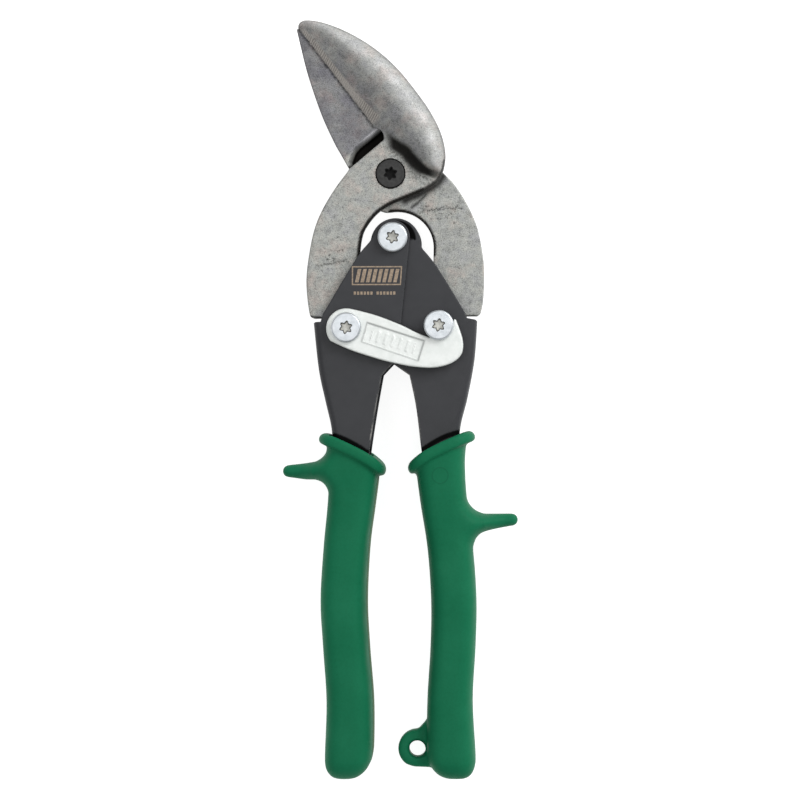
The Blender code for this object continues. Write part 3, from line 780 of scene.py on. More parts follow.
def upper_outline():
    """The upper blade's outline: tail, link lug, window, leaf, and the boss's edge at the slot."""
    foot = [(-21.3, -45.8), (-20.6, -47.0)]
    lug = arc(LEFT_LINK, LUG, 176.0, 378.0, 40)
    slot_end = smooth([CUT_ROOT, (-3.6, 14.1), (-2.4, 12.9), (-2.1, 11.6), along_edge(BOSS_EDGE, 5.1)])
    back = TAIL_EDGE + foot + lug + INNER_RIM
    return back + LEAF_OUTER + slot_end + [along_edge(BOSS_EDGE, -9.1)]


def leaf_frame(points):
    """How far points are from the cutting edge, how far along it from the tip, and the leaf's width there."""
    away = points - np.array(CUT_TIP)
    edge_gap = np.maximum(away @ CUT_ACROSS, 0.0)
    along = away @ CUT_ALONG
    return edge_gap, along, edge_gap + gap_to(points, LEAF_OUTER)


def bevel_band(edge_gap, along):
    """1 on the filed band behind the cutting edge, which widens towards the slot."""
    width = np.interp(along / CUT_LENGTH, (0.0, 0.2, 0.7, 0.8, 1.0), (1.7, 2.2, 2.4, 3.0, BEVEL_WIDTH))
    band = step_up(edge_gap, 0.1, 0.35) * (1 - step_up(edge_gap, width - 0.5, width))
    return band * step_up(along, 0.5, 2.5) * (1 - step_up(along, CUT_LENGTH - 1.6, CUT_LENGTH - 0.2))


def groove_strength(along):
    """How crisp the grooves are along the edge: they are worn in the middle."""
    return np.interp(along / CUT_LENGTH, (0.0, 0.1, 0.45, 0.58, 0.74, 0.82, 1.0),
                     (0.6, 1.0, 0.9, 0.3, 0.3, 1.0, 1.0))


def groove(edge_gap, along):
    """The cross grooves in that band, 0 on a land and 1 in a groove, a little uneven."""
    wander = np.array([noise.noise(Vector((value * 0.9, 3.0, 0.0))) for value in along])
    phase = (along + edge_gap * GROOVE_SLANT + wander * 0.22) * 2 * math.pi / GROOVE_PITCH
    return step_up(np.cos(phase), -0.2, 0.9) * groove_strength(along)


def leaf_height(points):
    """The upper leaf's height over its flat underside."""
    edge_gap, along, width = leaf_frame(points)
    share = edge_gap / np.maximum(width, 0.01)
    full = 8.0 * (1 - np.exp(-width / 9.0))
    body = full * np.interp(share, CROWN_ACROSS, CROWN_HEIGHT)
    bevel = 0.15 + 0.72 * edge_gap - GROOVE_DEPTH * groove(edge_gap, along) * bevel_band(edge_gap, along)
    soft = 0.35
    blend = np.clip(0.5 + (body - bevel) / (2 * soft), 0.0, 1.0)
    return body + (bevel - body) * blend - soft * blend * (1 - blend)


def leaf_side(points):
    """The signed distance from the wall at the leaf's heel, positive on the leaf."""
    beyond = [(20.0, 6.0), (18.0, 30.0), (-20.0, 60.0), (-36.0, 50.0)]
    region = [*HEEL_CURVE, *beyond, CUT_TIP, CUT_ROOT, (-3.6, 14.1)]
    return gap_to(points, HEEL_CURVE) * np.where(within(points, region), 1.0, -1.0)


def upper_top(points, rim):
    """Flat boss and tail, the raised leaf, the countersink, and forged unevenness."""
    leaf = LEAF_LOW + leaf_height(points)
    signed = leaf_side(points)
    height = UPPER_TOP + (leaf - UPPER_TOP) * step_up(signed, -1.5, 2.6)
    on_leaf = step_up(signed, -0.5, 1.5)
    thick = step_up(height, LEAF_LOW + 1.2, 18.0)
    height -= ease(rim, 0.55) * (1 - on_leaf) + ease(rim, 0.6) * on_leaf * thick
    sink = np.hypot(points[:, 0], points[:, 1]) < SINK - 0.02
    height = np.where(sink, UPPER_TOP - 1.25, height)
    height += ripple(points, 9.0, 0.06) + ripple(points, 2.6, 0.02, 5.0)
    return height - pit_depth(points)


def upper_bottom(points, rim):
    """Flat under the boss and tail, and a step up under the leaf."""
    raised = points @ EDGE_NORMAL > BOSS_EDGE + 0.2
    return np.where(raised, LEAF_LOW, UPPER_LOW) + 0.0 * rim


def pit_rows():
    """Small pits left by the forging's trimming line, scattered along both tails."""
    chance = random.Random(7)
    pits = []
    for start, end, count, spread in (((-23.6, -29.3), (-13.0, -27.4), 34, 0.28),
                                      ((8.4, -11.7), (22.6, -10.6), 44, 0.32),
                                      ((9.0, -11.0), (21.0, -13.5), 26, 1.5),
                                      ((-22.0, -28.0), (-15.0, -22.0), 16, 2.5)):
        for index in range(count):
            share = (index + chance.random()) / count
            x = start[0] + (end[0] - start[0]) * share
            y = start[1] + (end[1] - start[1]) * share + chance.gauss(0.0, spread)
            pits.append((x, y, 0.09 + 0.2 * chance.random() ** 2))
    return pits


PITS = pit_rows()


def pit_depth(points):
    """How deep the pits are at each point."""
    depth = np.zeros(len(points))
    for x, y, radius in PITS:
        squared = (points[:, 0] - x) ** 2 + (points[:, 1] - y) ** 2
        depth = np.maximum(depth, PIT_DEPTH * np.exp(-squared / radius ** 2))
    return depth


def pit_points():
    """A closer set of points round each pit."""
    found = []
    for x, y, radius in PITS:
        found.append((x, y))
        for step in range(6):
            angle = step * math.pi / 3
            found.append((x + radius * 1.1 * math.cos(angle), y + radius * 1.1 * math.sin(angle)))
    return found


def band_points():
    """A closer set of points over the serrated bevel."""
    return [tuple(np.array(CUT_TIP) + CUT_ALONG * (along - across * GROOVE_SLANT) + CUT_ACROSS * across)
            for along in np.arange(0.5, CUT_LENGTH + 1.0, 0.16)
            for across in np.arange(0.1, BEVEL_WIDTH + 0.3, 0.26)]


def write_layer(item, name, values):
    """Stores a value for each point, for the material to read."""
    layer = item.data.attributes.new(name, "FLOAT", "POINT")
    layer.data.foreach_set("value", np.clip(values, 0.0, 1.0).astype(np.float32))


def places_of(item):
    """Every point of an object's mesh, in millimetres."""
    places = np.empty(len(item.data.vertices) * 3)
    item.data.vertices.foreach_get("co", places)
    return places.reshape(-1, 3) / MM


def uneven(points, size, low=0.0, high=1.0, seed=0.0):
    """Patchy values between two limits."""
    values = ripple(points, size, 1.0, seed)
    return low + (high - low) * step_up(values, -0.35, 0.35)


def near(points, line, width):
    """1 on a polyline, fading smoothly with distance."""
    return np.exp(-(gap_to(points, line) / width) ** 2)


def rim_line(points, line, width):
    """1 beside a polyline, ending quickly at a width from it."""
    return 1 - step_up(gap_to(points, line), width * 0.6, width)


def darkest(*layers):
    """The strongest of several values at each point."""
    return np.maximum.reduce(np.broadcast_arrays(*layers))


def tone_and_shade_upper(item):
    """Where the upper blade is filed, has painted highlights and painted shade, and where its leaf is darker
    and bluer.
    """
    places = places_of(item)
    plan = places[:, :2]
    edge_gap, along, width = leaf_frame(plan)
    share = edge_gap / np.maximum(width, 0.01)
    signed = leaf_side(plan)
    leaf = step_up(signed, 0.8, 2.6)
    band = bevel_band(edge_gap, along) * leaf
    reach = 0.62 + 0.38 * step_up(-plan[:, 0], -12.5, -8.0)
    pool = 1.0 + 0.35 * np.exp(-((plan[:, 0] - 6.0) / 4.0) ** 2)
    heel = step_up(signed / reach / pool, -2.7, -0.9) * (1 - step_up(signed / reach, 1.0, 2.6)) * 0.97
    spray = step_up(signed, -5.6, -1.0) * (1 - step_up(signed, 0.0, 1.0)) * uneven(plan, 0.4, -0.5, 1.0, 21.0)
    heel_reach = step_up(plan[:, 0], -2.8, 1.0) * (1 - 0.5 * step_up(plan[:, 0], 12.0, 15.5))
    # Painted shade: pits, the heel's hollow with dark speckles beside it, the grooves, the cutting edge, the
    # window's rim and edges.
    dark = darkest(
        np.clip(pit_depth(plan) / PIT_DEPTH, 0.0, 1.0) * 0.9,
        darkest(heel, spray * 0.9) * heel_reach,
        groove(edge_gap, along) * band * 0.4,
        near(plan, [CUT_TIP, CUT_ROOT], 0.28) * leaf * uneven(plan, 0.8, 0.2, 0.9, 4.0),
        near(plan, LEAF_OUTER, 0.45) * leaf * 0.5,
        rim_line(plan, INNER_RIM, 1.15) * 0.97,
        rim_line(plan, LEAF_OUTER[:20], 0.6) * 0.85,
        rim_line(plan, [(9.6, -5.7), (14.5, -2.7)], 0.75) * 0.85,
        near(plan, [(-25.6, -45.2), (-21.3, -45.8)], 0.4) * 0.9,
        near(plan, TAIL_EDGE, 0.2) * 0.45,
    )
    # The countersink round the pivot screw, painted dark as shade.
    sink = np.hypot(plan[:, 0], plan[:, 1]) < SINK
    dark = np.where(sink & (places[:, 2] > UPPER_LOW + 1.0), 1.0, dark)
    top = places[:, 2] > LEAF_LOW + 0.1
    # A painted highlight along the leaf's crest, partly burnish.
    ridge = np.exp(-((share - 0.79) / 0.15) ** 2) * uneven(plan, 4.0, 0.5, 1.0, 12.0)
    write_layer(item, "painted_shade", dark)
    write_layer(item, "filed", band * top)
    write_layer(item, "painted_highlight", ridge * leaf * top * 0.42)
    # The leaf's slope darker and bluer: painted shade, with a temper tint.
    shade_and_tint = 0.60 - 0.30 * uneven(plan, 5.0, seed=2.0) + 0.1 * (1 - step_up(share, 0.12, 0.3))
    shade_and_tint = shade_and_tint * (1 - 0.85 * step_up(share, 0.4, 0.72)) + 0.15 * step_up(share, 0.9, 1.0)
    write_layer(item, "shade", leaf * shade_and_tint)


def tone_and_shade_lower(item):
    """Where the lower blade is darker in tone, has a painted highlight on the slot's lip, and painted shade.
    """
    places = places_of(item)
    plan = places[:, :2]
    across = plan @ EDGE_NORMAL
    jaw = step_up(across, WALL_TOP - 0.6, WALL_TOP + 0.1)
    signed = slot_gap(plan)
    front = places[:, 2] > LOWER_LOW + 0.5
    # Painted shade: pits, the slot's floor, the cutting edge, a crease, the upper boss's cast shadow, the
    # window's rim and edges.
    dark = darkest(
        np.clip(pit_depth(plan) / PIT_DEPTH, 0.0, 1.0) * 0.9,
        step_up(signed, -0.35, 0.05) * front,
        near(plan, [CUT_TIP, CUT_ROOT], 0.5) * uneven(plan, 0.7, -0.3, 0.75, 31.0),
        near(plan, BOSS_CREASE_SHADE, 0.5) * 0.85,
        near(plan, UPPER_SHADOW, 1.3) * 0.9,
        rim_line(plan, arc(WINDOW, WINDOW_RADIUS, 100.0, -10.0), 1.1) * 0.97,
        near(plan, [(22.8, -45.2), (27.6, -45.1)], 0.4) * 0.9,
        near(plan, JAW_OUTER, 0.2) * 0.45,
    )
    # A painted highlight along the slot's lip.
    lip = np.exp(-((signed + 0.8) / 0.5) ** 2) * (across > BOSS_EDGE + 1.5) * front
    lip = lip * step_up(plan[:, 0], -11.5, -6.0)
    write_layer(item, "painted_shade", dark)
    write_layer(item, "filed", np.zeros(len(dark)))
    write_layer(item, "painted_highlight", lip)
    write_layer(item, "shade", jaw * (0.85 - 0.25 * uneven(plan, 5.0, seed=8.0)))


def make_upper_blade(steel, scale):
    step_line = [[along_edge(distance, along) for along in np.arange(-9.6, 20.0, 0.5)]
                 for distance in (BOSS_EDGE + 0.05, BOSS_EDGE + 0.4)]
    rings = [circle(BLADE_PIVOT, radius, 90) for radius in (SINK - 0.06, SINK)]
    rings = [[*ring, ring[0]] for ring in rings]
    holes = [circle(BLADE_PIVOT, PIVOT_HOLE, 48), circle(LEFT_LINK, BUSH_HOLE, 48)]
    blade = relief("upper_blade", upper_outline(), holes, upper_top, upper_bottom, 0.5, (steel, scale),
                   [pit_points(), band_points()], step_line + rings)
    tone_and_shade_upper(blade)
    finish_piece(blade, "front_blade", ["front_blade"])


JAW_OUTER = smooth([(-29.9, 46.0), (-28.6, 40.5), (-27.0, 34.0), (-25.2, 28.0), (-21.8, 18.4), (-18.0, 10.1),
                    (-15.6, 5.8), (-13.0, 1.2)])
JAW_EDGE = smooth([(0.0, 17.5), (-4.0, 19.6), (-10.9, 27.2), (-16.5, 34.5), (-22.9, 42.2), (-27.6, 46.6)])


# The milled slot's outline, whose floor is painted dark as shade, a crease in the lower boss painted as
# shade, and the edge of the boss that lies over it, where a painted shadow falls.
SLOT = smooth([(-12.4, 3.6), (-12.0, 4.7), (-11.5, 6.1), (-10.7, 7.4), (-9.4, 8.7), (-5.9, 11.45),
               (-2.4, 14.2)])
SLOT += [(3.0, 12.0), (-4.0, 6.0), (-9.6, 0.9), (-11.9, 2.2)]
BOSS_CREASE_SHADE = ((11.3, -6.4), (8.6, -8.9), (6.6, -10.5))
UPPER_SHADOW = smooth([(4.4, -8.3), (10.2, -5.9), (14.7, -3.2), (16.6, -0.6)])


def slot_gap(points):
    """The signed distance from the slot's edge, positive over its floor."""
    return gap_to(points, SLOT, closed=True) * np.where(within(points, SLOT), 1.0, -1.0)


def lower_outline():
    """The lower blade's outline: tail, heel, jaw, boss, window and link lug."""
    tail_outer = smooth([(27.3, -45.1), (28.1, -44.5), (28.6, -43.5), (29.3, -39.5), (29.6, -31.4),
                         (29.1, -25.3), (27.5, -17.2), (24.6, -10.3), (20.6, -3.8), (16.9, 0.2),
                         (12.0, 5.4), (7.0, 11.0)])
    heel = [(4.6, 15.6), (3.0, 17.4)]
    boss = arc(BLADE_PIVOT, 12.6, 183.0, 232.0, 16)
    window = smooth([(-6.2, -10.6), (-3.7, -11.4), (-1.9, -11.95), (-0.06, -11.93)])
    window += arc(WINDOW, WINDOW_RADIUS, 95.0, 0.0, 36)
    inner = smooth([(13.5, -27.5), (12.6, -34.0), (10.9, -41.0), (9.6, -45.0)])
    lug = arc(RIGHT_LINK, LUG, 165.0, 370.0, 40)
    return tail_outer + heel + JAW_EDGE + JAW_OUTER + boss + window + inner + lug + [(22.8, -45.1)]


def lower_top(points, rim):
    """Flat boss and tail, a step up to the jaw's face, and the milled slot's floor."""
    across = points @ EDGE_NORMAL
    face = LOWER_TOP + (JAW_FACE - LOWER_TOP) * step_up(across, 9.85, 10.35)
    height = face + (SLOT_FLOOR - face) * step_up(slot_gap(points), -1.1, 0.6) * (across > BOSS_EDGE - 0.9)
    height -= ease(rim, 0.4)
    height += np.minimum(ripple(points, 9.0, 0.05, 3.0) + ripple(points, 2.6, 0.018, 9.0), 0.02)
    return height - pit_depth(points)


def lower_bottom(points, rim):
    """Flat under the boss and tail, and a rounded belly under the jaw."""
    across = points @ EDGE_NORMAL
    deep = step_up(across, 8.0, 13.0)
    belly = 8.4 * np.sqrt(np.clip(1 - (1 - np.clip(rim / 5.0, 0.0, 1.0)) ** 2, 0.0, 1.0))
    width = np.clip(rim / 1.0, 0.0, 1.0)
    jaw = JAW_FACE - 1.0 - belly * (0.55 + 0.45 * width)
    jaw = np.minimum(jaw, JAW_FACE - 1.0)
    flat = np.full(len(points), LOWER_LOW) + ease(rim, 0.5)
    return flat + (jaw - flat) * deep + ripple(points, 7.0, 0.05, 14.0)


def make_lower_blade(steel, scale):
    holes = [circle(BLADE_PIVOT, PIVOT_HOLE, 48), circle(RIGHT_LINK, BUSH_HOLE, 48)]
    wall = [tuple(point) for depth in (-1.1, -0.8, -0.5, -0.2, 0.1, 0.4, 0.7)
            for point in offset(resample(SLOT, 0.4), depth)]
    blade = relief("lower_blade", lower_outline(), holes, lower_top, lower_bottom, 0.5, (steel, scale),
                   [wall, pit_points()])
    tone_and_shade_lower(blade)
    finish_piece(blade, "rear_blade", ["rear_blade"])


# Handles


# Where the grips' collars meet the handles' front flanges.
LEFT_COLLAR_LINE = smooth([(-19.5, -82.4), (-15.0, -83.8), (-10.0, -86.4), (-5.0, -89.7)])
RIGHT_COLLAR_LINE = smooth([(9.0, -88.4), (13.0, -85.6), (17.5, -83.2), (22.5, -81.7)])


def left_outer_edge():
    return smooth([(-24.2, -47.4), (-22.6, -62.1), (-20.4, -72.5), (-18.4, -82.0), (-17.4, -98.0),
                   (-18.6, -118.0), (-19.5, -135.0), (-18.8, -150.0), (-17.7, TANG_END)])


def left_inner_edge():
    return smooth([(-8.7, TANG_END), (-9.9, -150.0), (-10.6, -135.0), (-9.8, -118.0), (-7.7, -98.0),
                   (-6.4, -87.0), (-4.4, -74.0), (-2.6, -63.9)])


def right_outer_edge():
    return smooth([(22.6, TANG_END), (23.7, -150.0), (24.4, -135.0), (23.4, -119.0), (21.4, -98.0),
                   (21.8, -82.0), (24.3, -71.0), (26.5, -59.0), (27.4, -46.7)])


def right_inner_edge():
    return smooth([(6.1, -63.9), (8.2, -74.0), (9.8, -87.0), (11.4, -98.0), (14.3, -119.0), (15.5, -135.0),
                   (14.9, -150.0), (13.8, TANG_END)])


def left_handle_outline():
    lobe = arc(HANDLE_PIVOT, 5.4, 2.0, 141.0, 40)
    shoulder = smooth([(-4.2, -18.6), (-6.6, -22.0), (-10.8, -27.3), (-21.2, -44.6)], 4)
    shoulder += [(-21.9, -47.0), (-23.6, -47.1)]
    crotch = smooth([(-2.6, -63.9), (-1.4, -62.6), (0.2, -60.9), (1.5, -59.5)], 3)[1:]
    return lobe + shoulder + left_outer_edge() + left_inner_edge() + crotch + [(3.6, -47.4)]


def right_handle_outline():
    lobe = arc(RIGHT_LOBE, 7.9, -4.0, 178.0, 48)
    shoulder = [(26.9, -46.3), (24.2, -45.8)] + smooth([(23.6, -44.0), (14.9, -29.8), (10.1, -23.8)], 4)
    crotch = [(-6.4, -25.0), (-1.5, -47.4), (1.2, -60.5)]
    return lobe + crotch + right_inner_edge() + right_outer_edge() + shoulder


def wear_and_shade_handle(item, outline, low, high, collar, pivot_shadow=None):
    """Pale edges on both faces, partly wear and partly a painted highlight, painted shadow above the grip's
    collar, and a painted shadow crescent round the pivot.
    """
    places = places_of(item)
    plan = places[:, :2]
    rim = gap_to(plan, outline, closed=True)
    on_face = (places[:, 2] > high - 0.32) | (places[:, 2] < low + 0.32)
    # Pale edges along the rims: partly wear, partly a painted highlight.
    edge_wear_and_glint = np.exp(-((rim - 0.12) / 0.16) ** 2) * on_face * uneven(plan, 9.0, 0.25, 1.0, 17.0)
    write_layer(item, "edge_wear_and_glint", edge_wear_and_glint * (plan[:, 1] > -84.0) * (plan[:, 1] < -57.0))
    # Painted shadow along the collar's line.
    dark = rim_line(plan, collar, 1.05)
    # A crescent of painted shadow round the pivot, where the other handle's lobe stands over this one.
    if pivot_shadow is not None:
        (x, y), radius = pivot_shadow
        away = np.hypot(plan[:, 0] - x, plan[:, 1] - y)
        crescent_shadow = (1 - step_up(away, radius - 0.35, radius + 0.1)) * (plan[:, 1] > HANDLE_PIVOT[1] - 0.6)
        dark = np.maximum(dark, crescent_shadow)
    write_layer(item, "painted_shade", dark)


def make_channel(name, outline, web_edge, pocket, low, high, bores, finishes, fine=()):
    """A folded sheet channel: bend radius along the web, small round edges elsewhere."""
    bend = 2.2

    def rounded(points, rim):
        return np.maximum(ease(gap_to(points, web_edge), bend), ease(rim, 0.25))

    body = relief(name, outline, [circle(*bore, 40) for bore in bores],
                  lambda points, rim: high - rounded(points, rim),
                  lambda points, rim: low + rounded(points, rim), 1.1, finishes,
                  [offset(resample(outline, 0.8), -depth) for depth in (0.6, 1.0, 1.5, 2.1)] + list(fine))
    return combine(body, plate(name + "_pocket", pocket, low + SHEET, high - SHEET), "DIFFERENCE")


def collar_fine(line):
    """A closer set of points round the collar's line."""
    return [[(x, y + lift) for x, y in line] for lift in np.arange(-1.6, 1.7, 0.2)]


def make_handles(finishes):
    edge = left_outer_edge()
    web = [(x + SHEET, y) for x, y in edge]
    pocket = [(-40.0, 0.0), (-40.0, -46.9), (web[0][0], -46.9), *web[1:], (web[-1][0], TANG_END - 5.0),
              (30.0, TANG_END - 5.0), (30.0, 0.0)]
    outline = left_handle_outline()
    left = make_channel("left_handle_shell", outline, edge, pocket, OUTER_REAR, OUTER_FRONT,
                        [(HANDLE_PIVOT, SHAFT_HOLE), (LEFT_LINK, SHAFT_HOLE)], finishes,
                        collar_fine(LEFT_COLLAR_LINE))
    wear_and_shade_handle(left, outline, OUTER_REAR, OUTER_FRONT, LEFT_COLLAR_LINE)
    finish_piece(left, "left_handle", ["left_handle"])
    edge = right_outer_edge()
    web = [(x - SHEET, y) for x, y in edge]
    pocket = [(-30.0, 0.0), (-30.0, TANG_END - 5.0), (web[0][0], TANG_END - 5.0), *web[:-1],
              (web[-1][0], -46.6), (40.0, -46.6), (40.0, 0.0)]
    outline = right_handle_outline()
    pivot_shadow = (HANDLE_PIVOT[0] + 1.2, HANDLE_PIVOT[1] - 0.6)
    fine = [point for radius in np.arange(5.3, 6.3, 0.12) for point in circle(pivot_shadow, radius, 90)]
    right = make_channel("right_handle_shell", outline, edge, pocket, INNER_REAR, INNER_FRONT,
                         [(HANDLE_PIVOT, BUSH_HOLE), (RIGHT_LINK, SHAFT_HOLE)], finishes,
                         [fine, *collar_fine(RIGHT_COLLAR_LINE)])
    wear_and_shade_handle(right, outline, INNER_REAR, INNER_FRONT, RIGHT_COLLAR_LINE, (pivot_shadow, 6.2))
    finish_piece(right, "right_handle", ["right_handle"])


# Grips

# Each grip's sections from collar to butt: left x, y, right x, y, and half the depth.
LEFT_GRIP = (
    (-20.4, -85.4, -4.0, -93.4, 9.5), (-19.6, -92.0, -4.4, -98.0, 9.4),
    (-20.0, -104.0, -5.4, -105.5, 9.4), (-21.3, -118.0, -7.0, -118.0, 9.8),
    (-22.3, -135.0, -7.8, -135.0, 10.2), (-21.5, -150.0, -7.1, -150.0, 10.2),
    (-20.4, -167.0, -5.8, -167.0, 10.0), (-20.9, -183.5, -5.9, -183.5, 10.0),
    (-20.8, -187.6, -6.7, -187.2, 9.5), (-20.0, -189.8, -8.2, -189.5, 8.2),
    (-18.6, -191.3, -10.3, -191.2, 6.0), (-16.9, -192.05, -12.6, -192.05, 2.6),
)
RIGHT_GRIP = (
    (8.0, -93.2, 24.0, -85.2, 9.5), (8.5, -97.5, 23.5, -92.0, 9.4),
    (9.6, -105.5, 24.2, -104.0, 9.4), (11.7, -119.0, 26.1, -119.0, 9.8),
    (12.8, -135.0, 27.2, -135.0, 10.2), (12.6, -150.0, 26.9, -150.0, 10.2),
    (11.6, -167.0, 26.0, -167.0, 10.0), (11.6, -183.5, 26.9, -184.0, 10.0),
    (12.6, -187.4, 26.7, -187.8, 9.5), (14.5, -189.9, 25.7, -190.1, 8.0),
    (16.7, -191.2, 24.2, -191.3, 5.8), (18.8, -191.8, 22.2, -191.8, 2.4),
)
GRIP_VOXEL = 0.5
FLASH_PROUD = 0.5
FLASH_HALF = 0.12
COLLAR_HALF = 1.85
COLLAR_ROUND = 1.7
COLLAR_EASE = 0.8
COLLAR_BOW = 0.8
SOCKET_GAP = 0.35
MOUTH_GAP = 0.85
MOUTH_DEEPER = 0.7


def grip_ring(station, sides=56, squareness=0.62):
    """A rounded section standing on the line between two points of the outline."""
    left_x, left_y, right_x, right_y, half = station
    ring = []
    for step in range(sides):
        angle = 2 * math.pi * step / sides
        across = math.copysign(abs(math.cos(angle)) ** squareness, math.cos(angle))
        depth = math.copysign(abs(math.sin(angle)) ** squareness, math.sin(angle))
        ring.append(((left_x + right_x) / 2 + (right_x - left_x) / 2 * across,
                     (left_y + right_y) / 2 + (right_y - left_y) / 2 * across, MID + half * depth))
    return ring


def collar_rings(left, right, droop):
    """A flat-faced rim with rounded edges round the line from left to right, which droops to one side.

    droop is (the share of the way where it starts, how far the end comes down).
    """
    half = COLLAR_HALF
    run = np.array(right) - np.array(left)
    run = run / np.linalg.norm(run)
    up = np.array((-run[1], run[0]))
    lifts = [half * math.cos(math.radians(15 * step)) for step in range(13)]
    rings = []
    for lift in lifts:
        shrink = ease(half - abs(lift), COLLAR_ROUND)
        a = np.array(left) + run * shrink + up * lift
        b = np.array(right) - run * shrink + up * lift
        ring = []
        for x, y, z in grip_ring((*a, *b, MID - ease(half - abs(lift), COLLAR_EASE))):
            share = float((np.array((x, y)) - np.array(left)) @ run) / math.dist(left, right)
            start, drop = droop
            past = max(0.0, (share - start) / (1 - start)) if drop > 0 else max(0.0, (start - share) / start)
            fall = abs(drop) * past * past - COLLAR_BOW * 4 * share * (1 - share)
            ring.append((x - up[0] * fall, y - up[1] * fall, z))
        rings.append(ring)
    return rings


def stop_plate(name, outline, root, tip):
    """The thumb stop: as deep as the grip at its root, thinner towards its tip, with rounded edges."""
    def lift(points, rim):
        share = step_up((points[:, 0] - tip) / (root - tip), 0.25, 1.0)
        half = 3.6 + 5.6 * share
        edge = 2.6 + 1.6 * share
        return half - ease(rim, edge) * half / (edge + 0.9)
    return relief(name, outline, [], lambda points, rim: MID + lift(points, rim),
                  lambda points, rim: MID - lift(points, rim), 0.7)


def remesh(item, size, rounds):
    """Fuses an object's shells into one smooth skin."""
    change = item.modifiers.new("fuse", "REMESH")
    change.mode = "VOXEL"
    change.voxel_size = size * MM
    change.use_smooth_shade = True
    calm = item.modifiers.new("calm", "SMOOTH")
    calm.factor = 0.5
    calm.iterations = rounds
    name = item.name
    return add_object(name, evaluated_mesh(item))


def calm(item, centre, radius, rounds):
    """Smooths a skin further round one place in plan."""
    work = bmesh.new()
    work.from_mesh(item.data)
    near_by = [vert for vert in work.verts if math.dist(vert.co.xy / MM, centre) < radius]
    for _ in range(rounds):
        bmesh.ops.smooth_vert(work, verts=near_by, factor=0.5, use_axis_x=True, use_axis_y=True,
                              use_axis_z=True)
    work.to_mesh(item.data)
    work.free()


def make_grip(name, node, stations, collar, brim, root, stop, tang, half, body, finish, extras=(),
              hole=None, fin=None):
    """A grip fused from its shells, then hollowed for the handle's tang with a wider mouth.

    brim is the collar's line, root the thumb stop's foot and half the tang's half depth.
    """
    skin = loft(name + "_body", [grip_ring(station) for station in smooth(stations, 5)])
    rim = loft(name + "_rim", collar)
    grip = remesh(join_shells(name, skin, rim, stop, *extras), GRIP_VOXEL, 7)
    calm(grip, root, 6.0, 40)
    if hole is not None:
        grip = combine(grip, turned(name + "_hole", hole, LOOP), "DIFFERENCE")
    below = [point for point in tang if point[1] < -70.0]
    socket = plate(name + "_socket", [tuple(point) for point in offset(below, SOCKET_GAP)],
                   MID - half - SOCKET_GAP, MID + half + SOCKET_GAP)
    grip = combine(grip, socket, "DIFFERENCE")
    mouth = plate(name + "_mouth", [tuple(point) for point in offset(below, MOUTH_GAP)],
                  MID - half - MOUTH_DEEPER, MID + half + MOUTH_DEEPER)
    above = plate(name + "_above", [*brim, (60.0, -60.0), (-60.0, -60.0)], 0.0, 2 * MID)
    grip = combine(grip, combine(mouth, above, "INTERSECT"), "DIFFERENCE")
    if fin is not None:
        grip = combine(grip, fin, "UNION")
    grip.data.materials.clear()
    grip.data.materials.append(finish)
    finish_piece(grip, body, [node], 50.0)
    return grip


def flash(name, side):
    """A thin fin along the mould's parting line on the grip's inner side, fading out at the butt."""
    edge = np.array(smooth(side))
    fade = step_up(edge[:, 1], edge[-1, 1], edge[-1, 1] + 6.0)
    outline = [(x + FLASH_PROUD * share, y) for (x, y), share in zip(edge, fade)]
    outline += [(x - 3.0, y) for x, y in edge[::-1]]
    return plate(name, outline, MID - FLASH_HALF, MID + FLASH_HALF)


